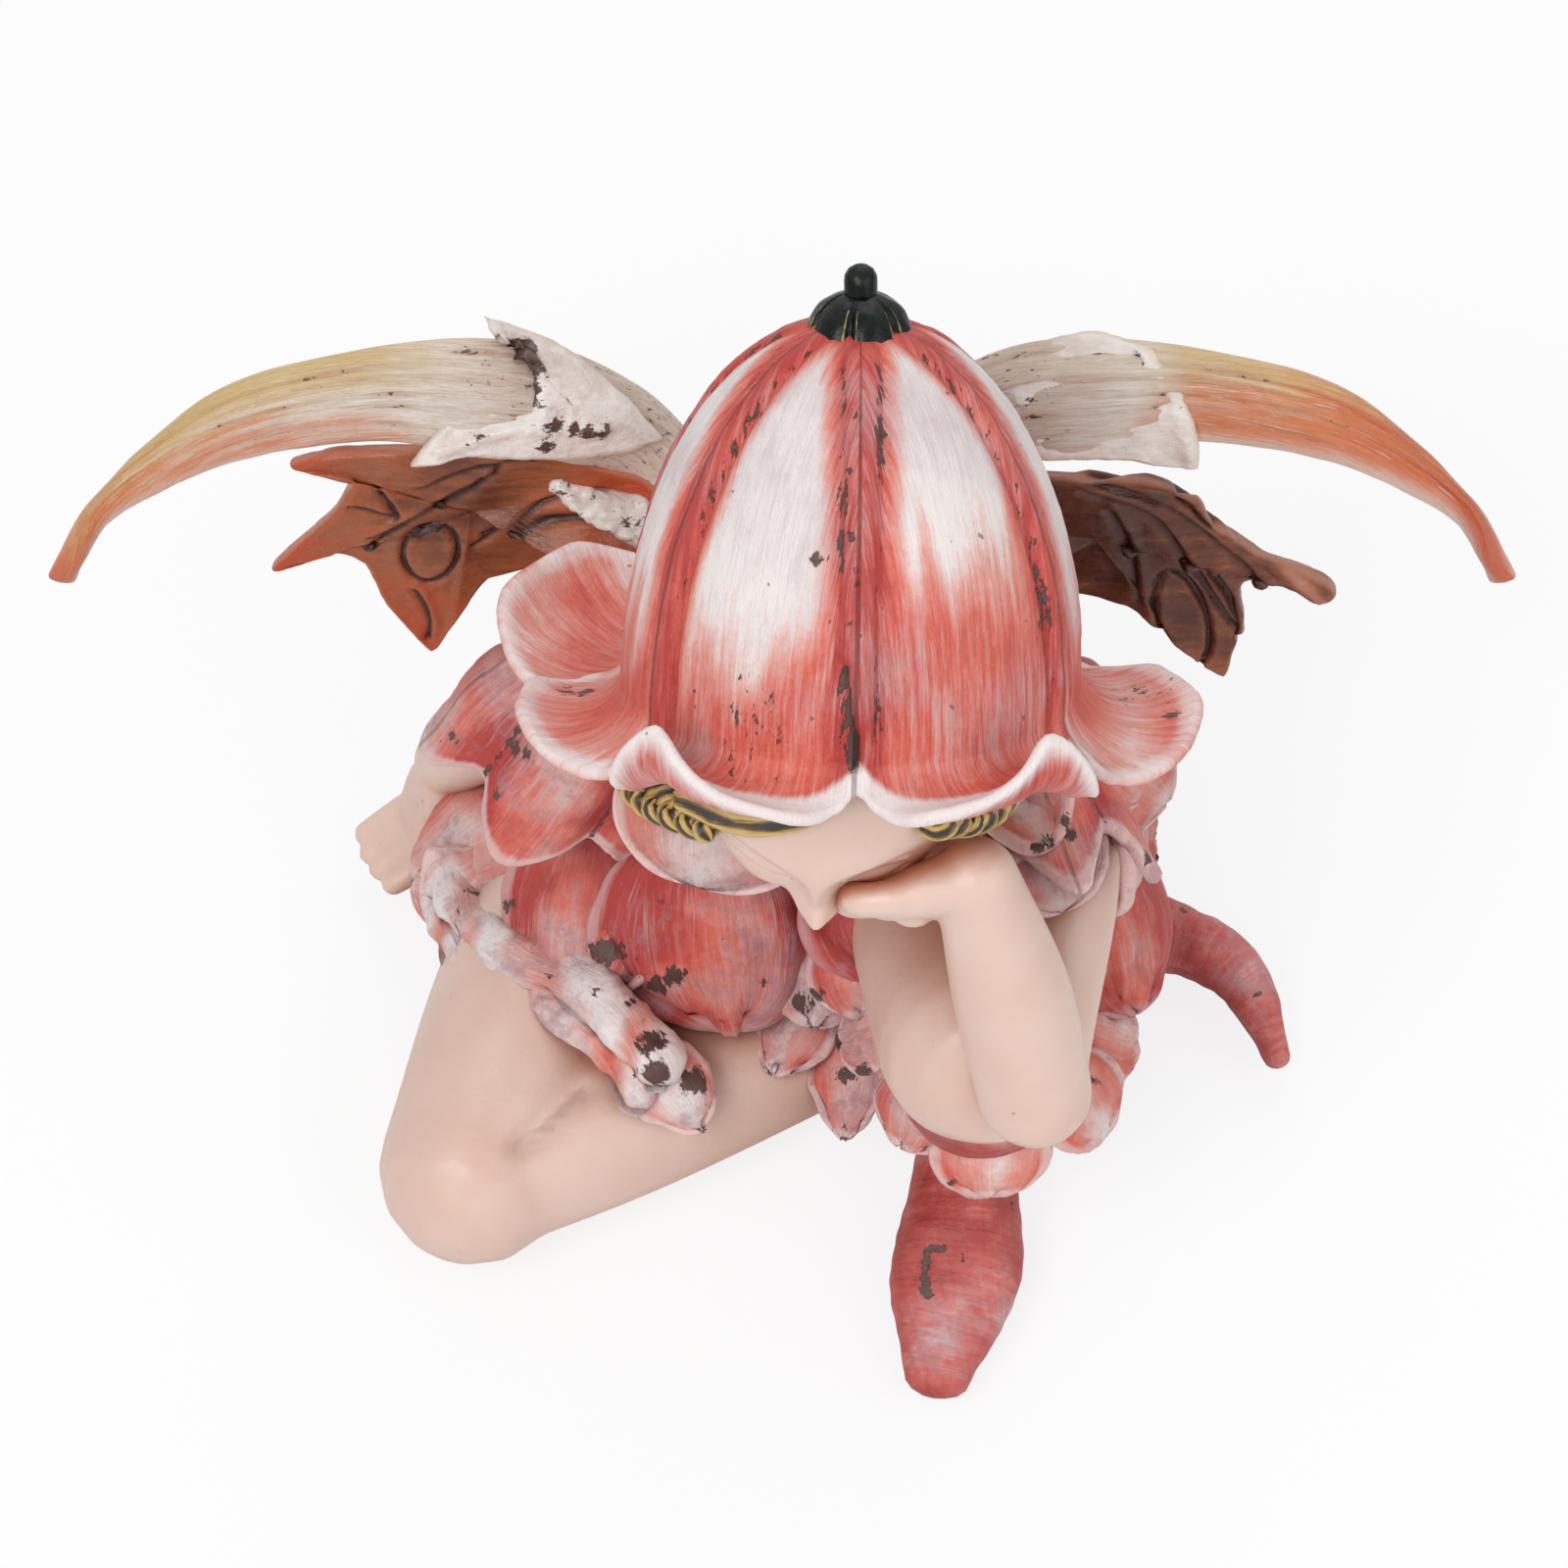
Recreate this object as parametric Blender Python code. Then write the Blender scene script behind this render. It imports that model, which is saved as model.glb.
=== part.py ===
"""Seated flower fairy: one solid cast figurine with its painted colours.

The figure sits on the floor in a petal dress, one leg folded flat and the other
knee raised, leaning its head on the hand of the arm that rests on that knee.
It wears a bell flower as a hat, petal sleeves, soft pointed boots and two pairs
of leaf wings. All sizes below are in millimetres; the origin is in the middle
of the flat seat, +X is to the viewer's right, -Y faces the viewer, +Z is up.
"""

import math

import bmesh
import bpy
import numpy as np

MM = 0.001

# Flower hat: half an ellipse of revolution, six petals that flare at the rim
HAT_CENTRE = (6.1, -31.9, 94.0)
HAT_TILT = math.radians(37.0)
HAT_RADIUS = 21.0
HAT_HEIGHT = 34.2
HAT_WALL = 2.2
HAT_HOLLOW = 6.0
HAT_SEAMS = (0, 63, 122, 187, 253, 302, 360)
HAT_RIB = 0.6
HAT_RIB_WIDTH = 2.4
HAT_GROOVE = 0.5
PETAL_BULGE = 0.5
HAT_ROLL_START = 0.6
CALYX_RADIUS = 4.5
CALYX_HEIGHT = 5.0
NUB_RADIUS = 1.5

# Head and hair
HEAD_CENTRE = (4.6, -34.2, 88.5)
HEAD_WIDTH = 27.4
HEAD_DEPTH = 29.5
HEAD_TALL = 33.5
HEAD_BOW = math.radians(14.0)
HEAD_TURN = math.radians(-6.0)
HAIR_THICKNESS = 1.2
BRAID_RADIUS = 1.9
NECK_RADIUS = 5.4

# Joints of the body
NECK_BASE = (4.0, -20.0, 66.0)
WAIST = (1.5, -6.0, 40.0)
PELVIS = (0.0, 3.0, 12.0)
SHOULDER_R = (-21.0, -9.5, 59.0)
SHOULDER_L = (26.5, -24.0, 59.5)
ELBOW_R = (-27.5, -4.5, 41.0)
WRIST_R = (-36.5, 3.4, 18.0)
ELBOW_L = (24.2, -53.6, 52.5)
WRIST_L = (17.6, -46.8, 83.0)
HIP_R = (-11.0, 2.0, 13.0)
KNEE_R = (-32.8, -42.0, 10.2)
ANKLE_R = (18.0, -19.5, 8.5)
HIP_L = (10.0, 2.0, 16.0)
KNEE_L = (19.6, -44.5, 45.0)
ANKLE_L = (19.8, -37.0, 10.0)
FOREARM_BOW = (0.6, 0.4, -2.0)
SHOULDER_RADIUS = 5.5
ELBOW_RADIUS = 5.6
WRIST_RADIUS = 3.9
THIGH_RADIUS = 12.0
KNEE_RADIUS = 10.4
CALF_RADIUS = 8.6
ANKLE_RADIUS = 5.6
FINGER_RADIUS = 1.7

# Dress
CHEST_WIDTH = 42.0
CHEST_DEPTH = 21.0
WAIST_WIDTH = 31.0
WAIST_DEPTH = 23.0
SKIRT_WIDTH = 70.0
SKIRT_DEPTH = 46.0
BACK_PETAL_ANGLES = (-20, 22, 64, 106, 148, 190)
BACK_PETAL_LENGTH = 37.0
BACK_PETAL_WIDTH = 27.6
BACK_PETAL_THICKNESS = 4.0
CLOTH = 1.8
SLEEVE_WALL = 1.8

# Boots
BOOT_WIDTH = 13.0
BOOT_HEIGHT = 9.5
TOE_L = (16.0, -62.6, 3.2)
TOE_R = (53.4, -25.5, 4.2)

# Wings
WING_THICKNESS = 1.9
WING_ROOT_THICKNESS = 4.5
WING_BULGE = 1.6
LEAF_DOME = 0.8
HIND_THICKNESS = 2.3
HIND_DOME = 0.6

# Block under the floor that cuts the base flat
FLOOR_REACH = 200.0
FLOOR_DEPTH = 40.0

# Finish of the fused surface
FLAT_ENOUGH = math.radians(4.5)
PINCH_REACH = 2.0
THIN_TRIES = 5
SHARP_EDGE = math.radians(50.0)

COLOURS = {
    "petal": (0.72, 0.16, 0.13, 1.0),
    "skin": (0.80, 0.58, 0.44, 1.0),
    "calyx": (0.01, 0.03, 0.02, 1.0),
    "hair": (0.16, 0.10, 0.03, 1.0),
    "boot": (0.55, 0.08, 0.08, 1.0),
    "wing_top": (0.72, 0.42, 0.24, 1.0),
    "wing_low": (0.32, 0.10, 0.05, 1.0),
}


def vec(*values):
    """A point or direction as an array."""
    return np.array(values, float)


def unit(v):
    """The direction of v."""
    return np.asarray(v, float) / np.linalg.norm(v)


def spline(stations, count):
    """Even samples of one smooth curve through the stations, whatever they hold."""
    knots = np.array(stations, float)
    knots = np.vstack([2 * knots[0] - knots[1], knots, 2 * knots[-1] - knots[-2]])
    places = np.linspace(0, len(knots) - 3, count)
    span = np.minimum(places.astype(int), len(knots) - 4)
    t = (places - span)[:, None]
    a, b, c, d = (knots[span + k] for k in range(4))
    return 0.5 * (2 * b + (c - a) * t + (2 * a - 5 * b + 4 * c - d) * t ** 2
                  + (3 * b - a - 3 * c + d) * t ** 3)


def skin(rings, material, start=None, end=None):
    """One closed surface over a row of rings, each end gathered into a point."""
    rings = np.array(rings, float)
    count, around = rings.shape[:2]
    start = rings[0].mean(axis=0) if start is None else start
    end = rings[-1].mean(axis=0) if end is None else end
    verts = np.vstack([rings.reshape(-1, 3), start, end])
    faces = []
    for j in range(around):
        k = (j + 1) % around
        faces.append((count * around, k, j))
        faces.append((count * around + 1, (count - 1) * around + j, (count - 1) * around + k))
        for i in range(count - 1):
            low = i * around
            faces.append((low + j, low + k, low + around + k, low + around + j))
    return verts, faces, material


def limb(stations, around, steps, material, up=(0, 0, 1)):
    """A tube with round ends. A station is x, y, z, half width, half thickness."""
    path = spline(stations, steps)
    centre = path[:, :3]
    radii = np.maximum(path[:, 3:5], 0.3)
    heading = np.gradient(centre, axis=0)
    heading /= np.linalg.norm(heading, axis=1)[:, None]
    side = np.cross(heading, vec(*up))
    side /= np.linalg.norm(side, axis=1)[:, None]
    rise = np.cross(side, heading)
    turns = np.arange(around) * 2 * math.pi / around
    rings = []

    def ring(i, slide, scale):
        middle = centre[i] + heading[i] * slide
        across = np.outer(np.cos(turns), side[i]) * radii[i, 0]
        thick = np.outer(np.sin(turns), rise[i]) * radii[i, 1]
        rings.append(middle + (across + thick) * scale)

    cap = radii.min(axis=1)
    ring(0, -0.8 * cap[0], 0.6)
    for i in range(steps):
        ring(i, 0, 1)
    ring(-1, 0.8 * cap[-1], 0.6)
    start = centre[0] - heading[0] * cap[0]
    end = centre[-1] + heading[-1] * cap[-1]
    return skin(rings, material, start, end)


def ball(centre, half, material, around, rows):
    """An ellipsoid with its half sizes along X, Y and Z."""
    angles = np.arange(around) * 2 * math.pi / around
    rings = []
    for i in range(1, rows):
        level = math.pi * i / rows
        flat = np.stack([np.cos(angles) * half[0] * math.sin(level),
                         np.sin(angles) * half[1] * math.sin(level),
                         np.full(around, -half[2] * math.cos(level))], axis=1)
        rings.append(flat + centre)
    pole = vec(0, 0, half[2])
    return skin(rings, material, centre - pole, centre + pole)


def petal(base, out, face, length, width, curl=40, cup=0.2, material="petal",
          thick=CLOTH, point=0.0, rows=5, around=8, neck=0.45):
    """A thick petal that grows along out and curls toward face (degrees)."""
    out = unit(out)
    face = unit(np.asarray(face, float) - out * np.dot(face, out))
    side = np.cross(out, face)
    turns = np.arange(around) * 2 * math.pi / around
    place = np.array(base, float)
    rings = []
    angle = 0.0
    widest = 0.58
    for i in range(rows + 1):
        s = i / rows
        if s < widest:
            share = neck + (1 - neck) * math.sin(0.5 * math.pi * s / widest)
        else:
            q = (s - widest) / (1 - widest)
            share = (1 - q ** (2 - point)) ** (0.5 + 0.5 * point)
        half = max(0.5 * width * share, 0.25 * thick)
        angle = math.radians(curl) * s ** 1.3
        if i:
            step = length / rows
            place = place + (out * math.cos(angle) + face * math.sin(angle)) * step
        normal = face * math.cos(angle) - out * math.sin(angle)
        body = thick * (1.0 if i < rows else 0.5) * 0.5
        x = half * np.cos(turns)
        lift = cup * x ** 2 / (0.5 * width)
        y = body * np.sign(np.sin(turns)) * np.abs(np.sin(turns)) ** 0.6 + lift
        rings.append(place + np.outer(x, side) + np.outer(y, normal))
    return skin(rings, material)


def hat_axes():
    """The hat's own directions: up its axis, to its front and to its side."""
    axis = vec(0.018, math.sin(HAT_TILT), math.cos(HAT_TILT))
    axis = unit(axis)
    front = unit(vec(0, -1, 0) + axis * axis[1])
    return axis, front, np.cross(front, axis) * -1


# Each hat petal, from its front seam to its rear one: share of the petal's width,
# length of the flare past the ring, and how far the rim rolls (degrees)
LEFT_FRONT_LOBE = ((0.0, 1.0, 10), (0.06, 3.8, 45), (0.25, 6.2, 100), (0.45, 6.6, 118),
                   (0.58, 7.6, 150), (0.7, 8.8, 190), (0.8, 8.6, 150), (0.9, 7.8, 90),
                   (1.0, 4.0, 60))
RIGHT_FRONT_LOBE = ((0.0, 1.0, 10), (0.06, 3.8, 45), (0.2, 6.2, 100), (0.38, 6.6, 118),
                    (0.5, 7.6, 150), (0.6, 8.8, 190), (0.7, 8.6, 150), (0.8, 7.8, 100),
                    (0.9, 6.8, 75), (1.0, 3.0, 55))
SIDE_LOBE = ((0.0, 3.0, 45), (0.1, 8.5, 70), (0.3, 11.5, 100), (0.55, 13.0, 122),
             (0.8, 11.0, 120), (1.0, 3.0, 70))
LEFT_LOBE = ((0.0, 3.0, 45), (0.1, 7.0, 70), (0.3, 9.5, 100), (0.55, 10.5, 122),
             (0.8, 9.5, 125), (1.0, 3.0, 70))
BACK_LOBE = ((0.0, 4.0, 60), (0.1, 15.0, 105), (0.25, 22.0, 140), (0.5, 23.0, 150),
             (0.75, 16.0, 130), (0.9, 9.0, 95), (1.0, 3.0, 50))
REAR_LOBE = ((0.0, 3.0, 45), (0.15, 9.0, 80), (0.4, 12.0, 100), (0.6, 12.0, 100),
             (0.85, 9.0, 80), (1.0, 3.0, 50))
HAT_LOBES = (RIGHT_FRONT_LOBE, SIDE_LOBE, REAR_LOBE, BACK_LOBE, LEFT_LOBE,
             LEFT_FRONT_LOBE)
HAT_COLUMNS = (0.0, 0.06, 0.15, 0.32, 0.5, 0.68, 0.8, 0.92)


def flare(petal_number, share):
    """Length and roll of the hat's rim at a share of one petal's width."""
    if petal_number >= len(HAT_LOBES) / 2:
        share = 1 - share
    table = np.array(HAT_LOBES[petal_number])
    return (np.interp(share, table[:, 0], table[:, 1]),
            np.interp(share, table[:, 0], table[:, 2]))


def seam_shape(petal_number, share, radius):
    """How far the wall stands out: a rib on each seam, a groove at its sides."""
    width = math.radians(HAT_SEAMS[petal_number + 1] - HAT_SEAMS[petal_number])
    off = min(share, 1 - share) * width * max(radius, 1) / (0.5 * HAT_RIB_WIDTH)
    rib = HAT_RIB * math.exp(-off ** 2) - HAT_GROOVE * math.exp(-3 * (off - 1.7) ** 2)
    return rib * min(radius / 8, 1) - PETAL_BULGE * (1 - math.sin(math.pi * share))


def meridian(petal_number, share, wall_rows, flare_rows):
    """The hat's section at one place: down the wall, over the rim and back inside."""
    outer = []
    for level in np.sin(np.linspace(math.radians(84), 0, wall_rows)):
        radius = HAT_RADIUS * math.sqrt(1 - level ** 2)
        outer.append((radius + seam_shape(petal_number, share, radius), level * HAT_HEIGHT))
    length, roll = flare(petal_number, share)
    r, h = outer[-1]
    angles = [0.0]
    for i in range(1, flare_rows + 1):
        angle = math.radians(roll) * ((i - 0.5) / flare_rows) ** HAT_ROLL_START
        r += math.sin(angle) * length / flare_rows
        h -= math.cos(angle) * length / flare_rows
        outer.append((r, h))
        angles.append(math.radians(roll) * (i / flare_rows) ** HAT_ROLL_START)
    inner = []
    for i in range(flare_rows, -1, -1):
        wall = HAT_WALL * (0.6 if i == flare_rows else 1.0)
        r, h = outer[wall_rows - 1 + i]
        inner.append((r - wall * math.cos(angles[i]), h - wall * math.sin(angles[i])))
    inner.append((HAT_RADIUS * 0.78, HAT_HOLLOW))
    inner.append((HAT_RADIUS * 0.4, HAT_HOLLOW + 1))
    return outer + inner


def hat(wall_rows, flare_rows):
    """The bell flower, closed underneath a little way up inside its rim."""
    axis, front, side = hat_axes()
    ring = np.array(HAT_CENTRE)
    meridians = []
    for number in range(len(HAT_LOBES)):
        for share in HAT_COLUMNS:
            width = HAT_SEAMS[number + 1] - HAT_SEAMS[number]
            turn = math.radians(HAT_SEAMS[number] + share * width)
            away = front * math.cos(turn) + side * math.sin(turn)
            section = meridian(number, share, wall_rows, flare_rows)
            meridians.append([ring + axis * h + away * r for r, h in section])
    rings = np.array(meridians).transpose(1, 0, 2)
    top = ring + axis * HAT_HEIGHT
    return skin(rings, "petal", top, ring + axis * (HAT_HOLLOW + 1))


def calyx():
    """The dark flower base on top of the hat, six lobes under a round nub."""
    axis, front, side = hat_axes()
    base = np.array(HAT_CENTRE) + axis * (HAT_HEIGHT - 2.6)
    lobes = len(HAT_LOBES)
    around = 2 * lobes
    profile = ((0.75, -0.25), (1.0, -0.1), (1.04, 0.12), (0.98, 0.4), (0.78, 0.72), (0.42, 0.95))
    rings = []
    for share, level in profile:
        ring = []
        for k in range(around):
            turn = 2 * math.pi * k / around
            lobe = 1 + 0.08 * math.cos(lobes * turn)
            away = front * math.cos(turn) + side * math.sin(turn)
            ring.append(base + axis * level * CALYX_HEIGHT + away * share * lobe * CALYX_RADIUS)
        rings.append(ring)
    dome = skin(rings, "calyx")
    foot = base + axis * CALYX_HEIGHT * 0.8
    tip = base + axis * (CALYX_HEIGHT + 0.9)
    nub = limb([(*foot, NUB_RADIUS * 0.8, NUB_RADIUS * 0.8), (*tip, NUB_RADIUS, NUB_RADIUS)],
               8, 2, "calyx", up=(1, 0, 0))
    return [dome, nub]


def head_frame():
    """Rotation that bows and turns the head."""
    bow = np.array([[1, 0, 0],
                    [0, math.cos(HEAD_BOW), -math.sin(HEAD_BOW)],
                    [0, math.sin(HEAD_BOW), math.cos(HEAD_BOW)]])
    turn = np.array([[math.cos(HEAD_TURN), -math.sin(HEAD_TURN), 0],
                     [math.sin(HEAD_TURN), math.cos(HEAD_TURN), 0], [0, 0, 1]])
    return turn @ bow


def bump(x, z, at_x, at_z, wide, tall):
    """A soft swelling on the face."""
    return math.exp(-((x - at_x) / wide) ** 2 - ((z - at_z) / tall) ** 2)


def face_relief(x, z):
    """How far the face stands in front of a plain egg, at x across and z up."""
    a = abs(x)
    out = 1.0 * bump(a, z, 0, 3.5, 7, 2.4)
    out -= 1.5 * bump(a, z, 5.2, 0.2, 3.2, 2.4)
    out += 0.9 * bump(a, z, 5.2, -0.4, 2.6, 1.5)
    out += 1.9 * bump(a, z, 0, -0.6, 1.6, 3.4)
    out += 3.3 * bump(a, z, 0, -4.4, 2.0, 1.8)
    out += 1.0 * bump(a, z, 6.6, -5.2, 3.6, 3.4)
    out -= 0.8 * bump(a, z, 0, -6.9, 3.0, 1.0)
    out += 1.3 * bump(a, z, 0, -8.3, 2.9, 0.9)
    out -= 0.5 * bump(a, z, 0, -9.2, 2.8, 0.5)
    out += 1.2 * bump(a, z, 0, -10.2, 2.3, 0.9)
    out += 1.1 * bump(a, z, 0, -13.0, 3.0, 1.9)
    return out


def head(columns, levels):
    """The head as an egg with a calm, plain face on its front."""
    frame = head_frame()
    half = vec(HEAD_WIDTH, HEAD_DEPTH, HEAD_TALL) / 2
    rings = []
    for level in levels:
        z = half[2] * math.sin(level)
        narrow = 1.0 if z > 0 else 1 - 0.30 * (z / half[2]) ** 2
        ring = []
        for azimuth in columns:
            x = half[0] * math.cos(level) * math.sin(azimuth) * narrow
            y = -half[1] * math.cos(level) * math.cos(azimuth)
            if math.cos(azimuth) > 0:
                y -= face_relief(x, z) * min(1, 2.5 * math.cos(azimuth) * math.cos(level))
            ring.append(frame @ vec(x, y, z) + HEAD_CENTRE)
        rings.append(ring)
    low = frame @ vec(0, 0, -half[2]) + HEAD_CENTRE
    top = frame @ vec(0, 0, half[2]) + HEAD_CENTRE
    return skin(rings, "skin", low, top)


def head_columns():
    """Azimuths round the head, close together on the face."""
    face = np.radians(np.arange(-54, 55, 9))
    back = np.radians(np.arange(90, 271, 36))
    return list(face) + list(back)


def braid(path, beads):
    """A plaited strand: one tube that swells at each crossing of its locks."""
    line = spline(path, 2 * beads + 1)
    swell = [1.0 if i % 2 else 0.68 for i in range(len(line))]
    stations = [(*p, BRAID_RADIUS * k, BRAID_RADIUS * k) for p, k in zip(line, swell)]
    return limb(stations, 7, len(stations), "hair")


# Locks combed over the brow (with half sizes) and the middle lines of the braids
BROW_LOCKS = (
    ((6.0, -46.2, 103.0, 1.0, 1.2), (2.6, -47.6, 97.8, 1.7, 1.6),
     (-3.2, -46.2, 93.2, 2.1, 1.7), (-8.6, -42.6, 90.0, 1.6, 1.4)),
    ((4.0, -45.5, 104.0, 1.2, 1.5), (-2.4, -45.2, 98.4, 2.4, 1.7),
     (-7.4, -41.6, 94.4, 2.4, 1.8), (-10.0, -36.0, 91.0, 1.8, 1.8)),
    ((6.4, -46.2, 103.0, 1.0, 1.2), (10.6, -46.4, 98.6, 1.9, 1.6),
     (15.0, -42.6, 94.6, 2.0, 1.8), (17.6, -37.6, 92.0, 1.6, 1.6)),
)
BRAIDS = (
    ((-14.6, -36.0, 86.0), (-12.0, -40.2, 86.6), (-6.6, -44.0, 88.4)),
    ((20.8, -40.6, 91.4), (17.8, -43.6, 90.4), (13.4, -46.2, 93.2)),
)


def hair():
    """A hair cap under the hat, a gathered nape, combed locks and the braids."""
    frame = head_frame()
    half = vec(HEAD_WIDTH, HEAD_DEPTH, HEAD_TALL) / 2 + HAIR_THICKNESS
    cap = ball(frame @ vec(0, 4.0, 3.5) + HEAD_CENTRE, half * vec(1, 0.93, 0.9), "hair", 14, 6)
    nape = ball(frame @ vec(0, 5.0, -4.0) + HEAD_CENTRE, vec(13.2, 11.6, 10.5), "hair", 12, 6)
    parts = [cap, nape]
    for lock in BROW_LOCKS:
        parts.append(limb(lock, 7, 6, "hair", up=(0, -1, 0.3)))
    for path in BRAIDS:
        parts.append(braid(path, 4))
    return parts


def torso():
    """Leaning body from the pelvis to the neck, and the neck itself."""
    lean = vec(*NECK_BASE) - WAIST
    chest = vec(*WAIST) + lean * 0.6
    stations = [(*PELVIS, 0.5 * WAIST_WIDTH, 0.5 * WAIST_DEPTH),
                (*WAIST, 0.5 * WAIST_WIDTH, 0.5 * WAIST_DEPTH),
                (*chest, 0.5 * CHEST_WIDTH, 0.5 * CHEST_DEPTH),
                (*NECK_BASE, 0.34 * CHEST_WIDTH, 0.34 * CHEST_DEPTH)]
    body = limb(stations, 12, 6, "petal", up=(-0.25, 1, 0))
    throat = frame_point(vec(0, 3.0, -9.0))
    neck = limb([(*vec(*NECK_BASE), NECK_RADIUS, NECK_RADIUS),
                 (*throat, NECK_RADIUS, NECK_RADIUS)], 8, 2, "skin", up=(1, 0, 0))
    return [body, neck]


def frame_point(local):
    """A point of the head's own frame in the figure's frame."""
    return head_frame() @ local + HEAD_CENTRE


def skirt_point(share, turn):
    """A point of the skirt at a share of the way down and an angle round the waist."""
    spread = math.sin(0.5 * math.pi * min(1, share * 1.15)) ** 1.1
    wave = 1 + 0.04 * share * math.sin(7 * turn + 0.6)
    wide = 0.5 * (WAIST_WIDTH + (SKIRT_WIDTH - WAIST_WIDTH) * spread) * wave
    deep = 0.5 * (WAIST_DEPTH + (SKIRT_DEPTH - WAIST_DEPTH) * spread) * wave
    return vec(WAIST[0] * (1 - share) + wide * math.cos(turn),
               WAIST[1] * (1 - share) - 3 * share + deep * math.sin(turn),
               WAIST[2] * (1 - share) ** 0.9)


def skirt(around, rows):
    """The full skirt: a soft dome from the waist to the floor, wavy at the hem."""
    turns = np.arange(around) * 2 * math.pi / around
    return skin([[skirt_point(share, turn) for turn in turns]
                 for share in np.linspace(0, 1, rows)], "petal")


def back_petals():
    """Long petals that lie side by side over the back and sides of the skirt."""
    parts = []
    for turn in np.radians(BACK_PETAL_ANGLES):
        base = skirt_point(0.04, turn)
        along = skirt_point(0.4, turn) - base
        outward = (math.cos(turn), math.sin(turn), 0.4)
        parts.append(petal(base, along, outward, BACK_PETAL_LENGTH, BACK_PETAL_WIDTH,
                           6, -0.16, thick=BACK_PETAL_THICKNESS, point=0.3, rows=4))
    return parts


# Petals of the dress: base, direction, facing, length, width, curl, cup, pointed
SKIRT_PETALS = (
    ((-19, -11, 36), (-0.2, -0.8, -0.45), (-0.4, -0.4, 0.9), 22, 19, -18, -0.25, 0.0),
    ((-8, -16, 42), (0.1, -0.75, -0.55), (0.0, -0.6, 0.9), 26, 27, -45, -0.35, 0.0),
    ((6, -18, 42), (0.35, -0.9, -0.3), (0, -0.5, 1), 17, 15, -35, -0.3, 0.3),
    ((28, -14, 46), (0.45, -0.8, -0.35), (0.45, -0.2, 0.9), 27, 17, -45, -0.35, 0.0),
    ((26, -30, 38), (0.4, -0.7, -0.6), (0.5, -0.5, 0.7), 15, 12, -40, -0.35, 0.0),
    ((26, -10, 36), (0.9, 0.1, -0.5), (0.6, 0, 0.8), 20, 22, -45, -0.25, 0.1),
)


def dress_petals():
    """Big overlapping petals over the skirt."""
    parts = []
    for base, out, face, length, width, curl, cup, point in SKIRT_PETALS:
        parts.append(petal(base, out, face, length, width, curl, cup, point=point))
    return parts


def hem():
    """The curled hem over the folded thigh: a roll, its frill and the last tip."""
    roll = limb([(-35.8, -10.0, 17.0, 2.0, 1.8), (-32.5, -18.5, 20.5, 2.8, 2.2),
                 (-27.5, -23.5, 23.5, 3.2, 2.3), (-21.5, -27.5, 25.5, 3.2, 2.3),
                 (-16.5, -32.0, 26.0, 3.0, 2.2), (-13.0, -37.0, 24.5, 2.8, 2.0)], 8, 12, "petal")
    tip = petal((-14.5, -34.0, 24.0), (0.55, -0.75, -0.3), (0, -0.3, 1), 11, 9, -20, -0.3,
                point=0.8)
    end = petal((-32.0, -9.5, 20.0), (-0.75, -0.35, -0.3), (0, -0.3, 1), 8, 7, -20, 0.2,
                point=0.6)
    return [roll, tip, end]


def collar():
    """Petals round the neck, one of them hanging under the chin."""
    parts = [petal((-4.0, -22.0, 69.5), (-0.25, -0.9, -0.28), (0, -0.4, 1), 17, 20, -10, 0.15)]
    for base, out in (((-11.6, -14.4, 66.3), (-0.85, -0.3, -0.25)),
                      ((17, -23, 67), (0.75, -0.35, -0.2)),
                      ((14, -12, 67), (0.6, 0.7, -0.2)),
                      ((-4, -8, 66), (-0.4, 0.9, -0.2))):
        parts.append(petal(base, out, (0, 0, 1), 13, 15, -30, 0.0))
    return parts


def puff(top, mouth, tilt_out, wide, around, rows, petals, flare_out):
    """A bell sleeve of joined petals from the shoulder to an open, rolled mouth."""
    top = vec(*top)
    mouth = vec(*mouth)
    axis = unit(mouth - top)
    side = unit(np.cross(axis, vec(*tilt_out)))
    third = np.cross(side, axis)
    length = np.linalg.norm(mouth - top)
    outer = []
    inner = []
    for i in range(rows):
        s = i / (rows - 1)
        radius = wide * (0.42 + 0.58 * math.sin(0.5 * math.pi * min(1, s * 1.5)) ** 0.8)
        radius += flare_out * max(0, s - 0.7) / 0.3
        ring = []
        core = []
        for k in range(around):
            turn = 2 * math.pi * k / around
            phase = math.cos(petals * turn)
            groove = 1 - 0.07 * max(0, -phase) ** 2
            reach = length * s * (1 + 0.14 * s ** 2 * phase)
            away = side * math.cos(turn) + third * math.sin(turn)
            ring.append(top + axis * reach + away * radius * groove)
            if s > 0.55:
                core.append(top + axis * (reach - 0.4) + away * (radius * groove - SLEEVE_WALL))
        outer.append(ring)
        if core:
            inner.append(core)
    return skin(outer + inner[::-1], "petal", top - axis * 2)


def sleeves():
    """The two petal sleeves with a few loose petals on each."""
    right = puff((-14.5, -10.5, 65), (-23.2, -13.6, 44), (0, -1, 0), 11.2, 15, 6, 5, 0.8)
    left = puff((21, -17, 67), (27.2, -35.5, 62.0), (1, 0, 0), 8.4, 15, 6, 5, 0.8)
    loose = [
        petal((24, -20, 68), (0.85, -0.3, -0.5), (0.2, -0.4, 1), 18, 18, -25, -0.15),
        petal((21.5, -26, 69.5), (0.33, -0.87, -0.3), (0.2, -0.3, 1), 16, 12.5, -12, 0.3),
        petal((19, -24, 71), (0.35, -0.75, -0.15), (0, 0, 1), 15, 10, 25, 0.2, point=0.6),
        petal((27, -19, 58), (0.62, -0.62, -0.5), (0.5, -0.2, 0.8), 18, 16, -45, -0.3),
    ]
    return [right, left] + loose


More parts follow.
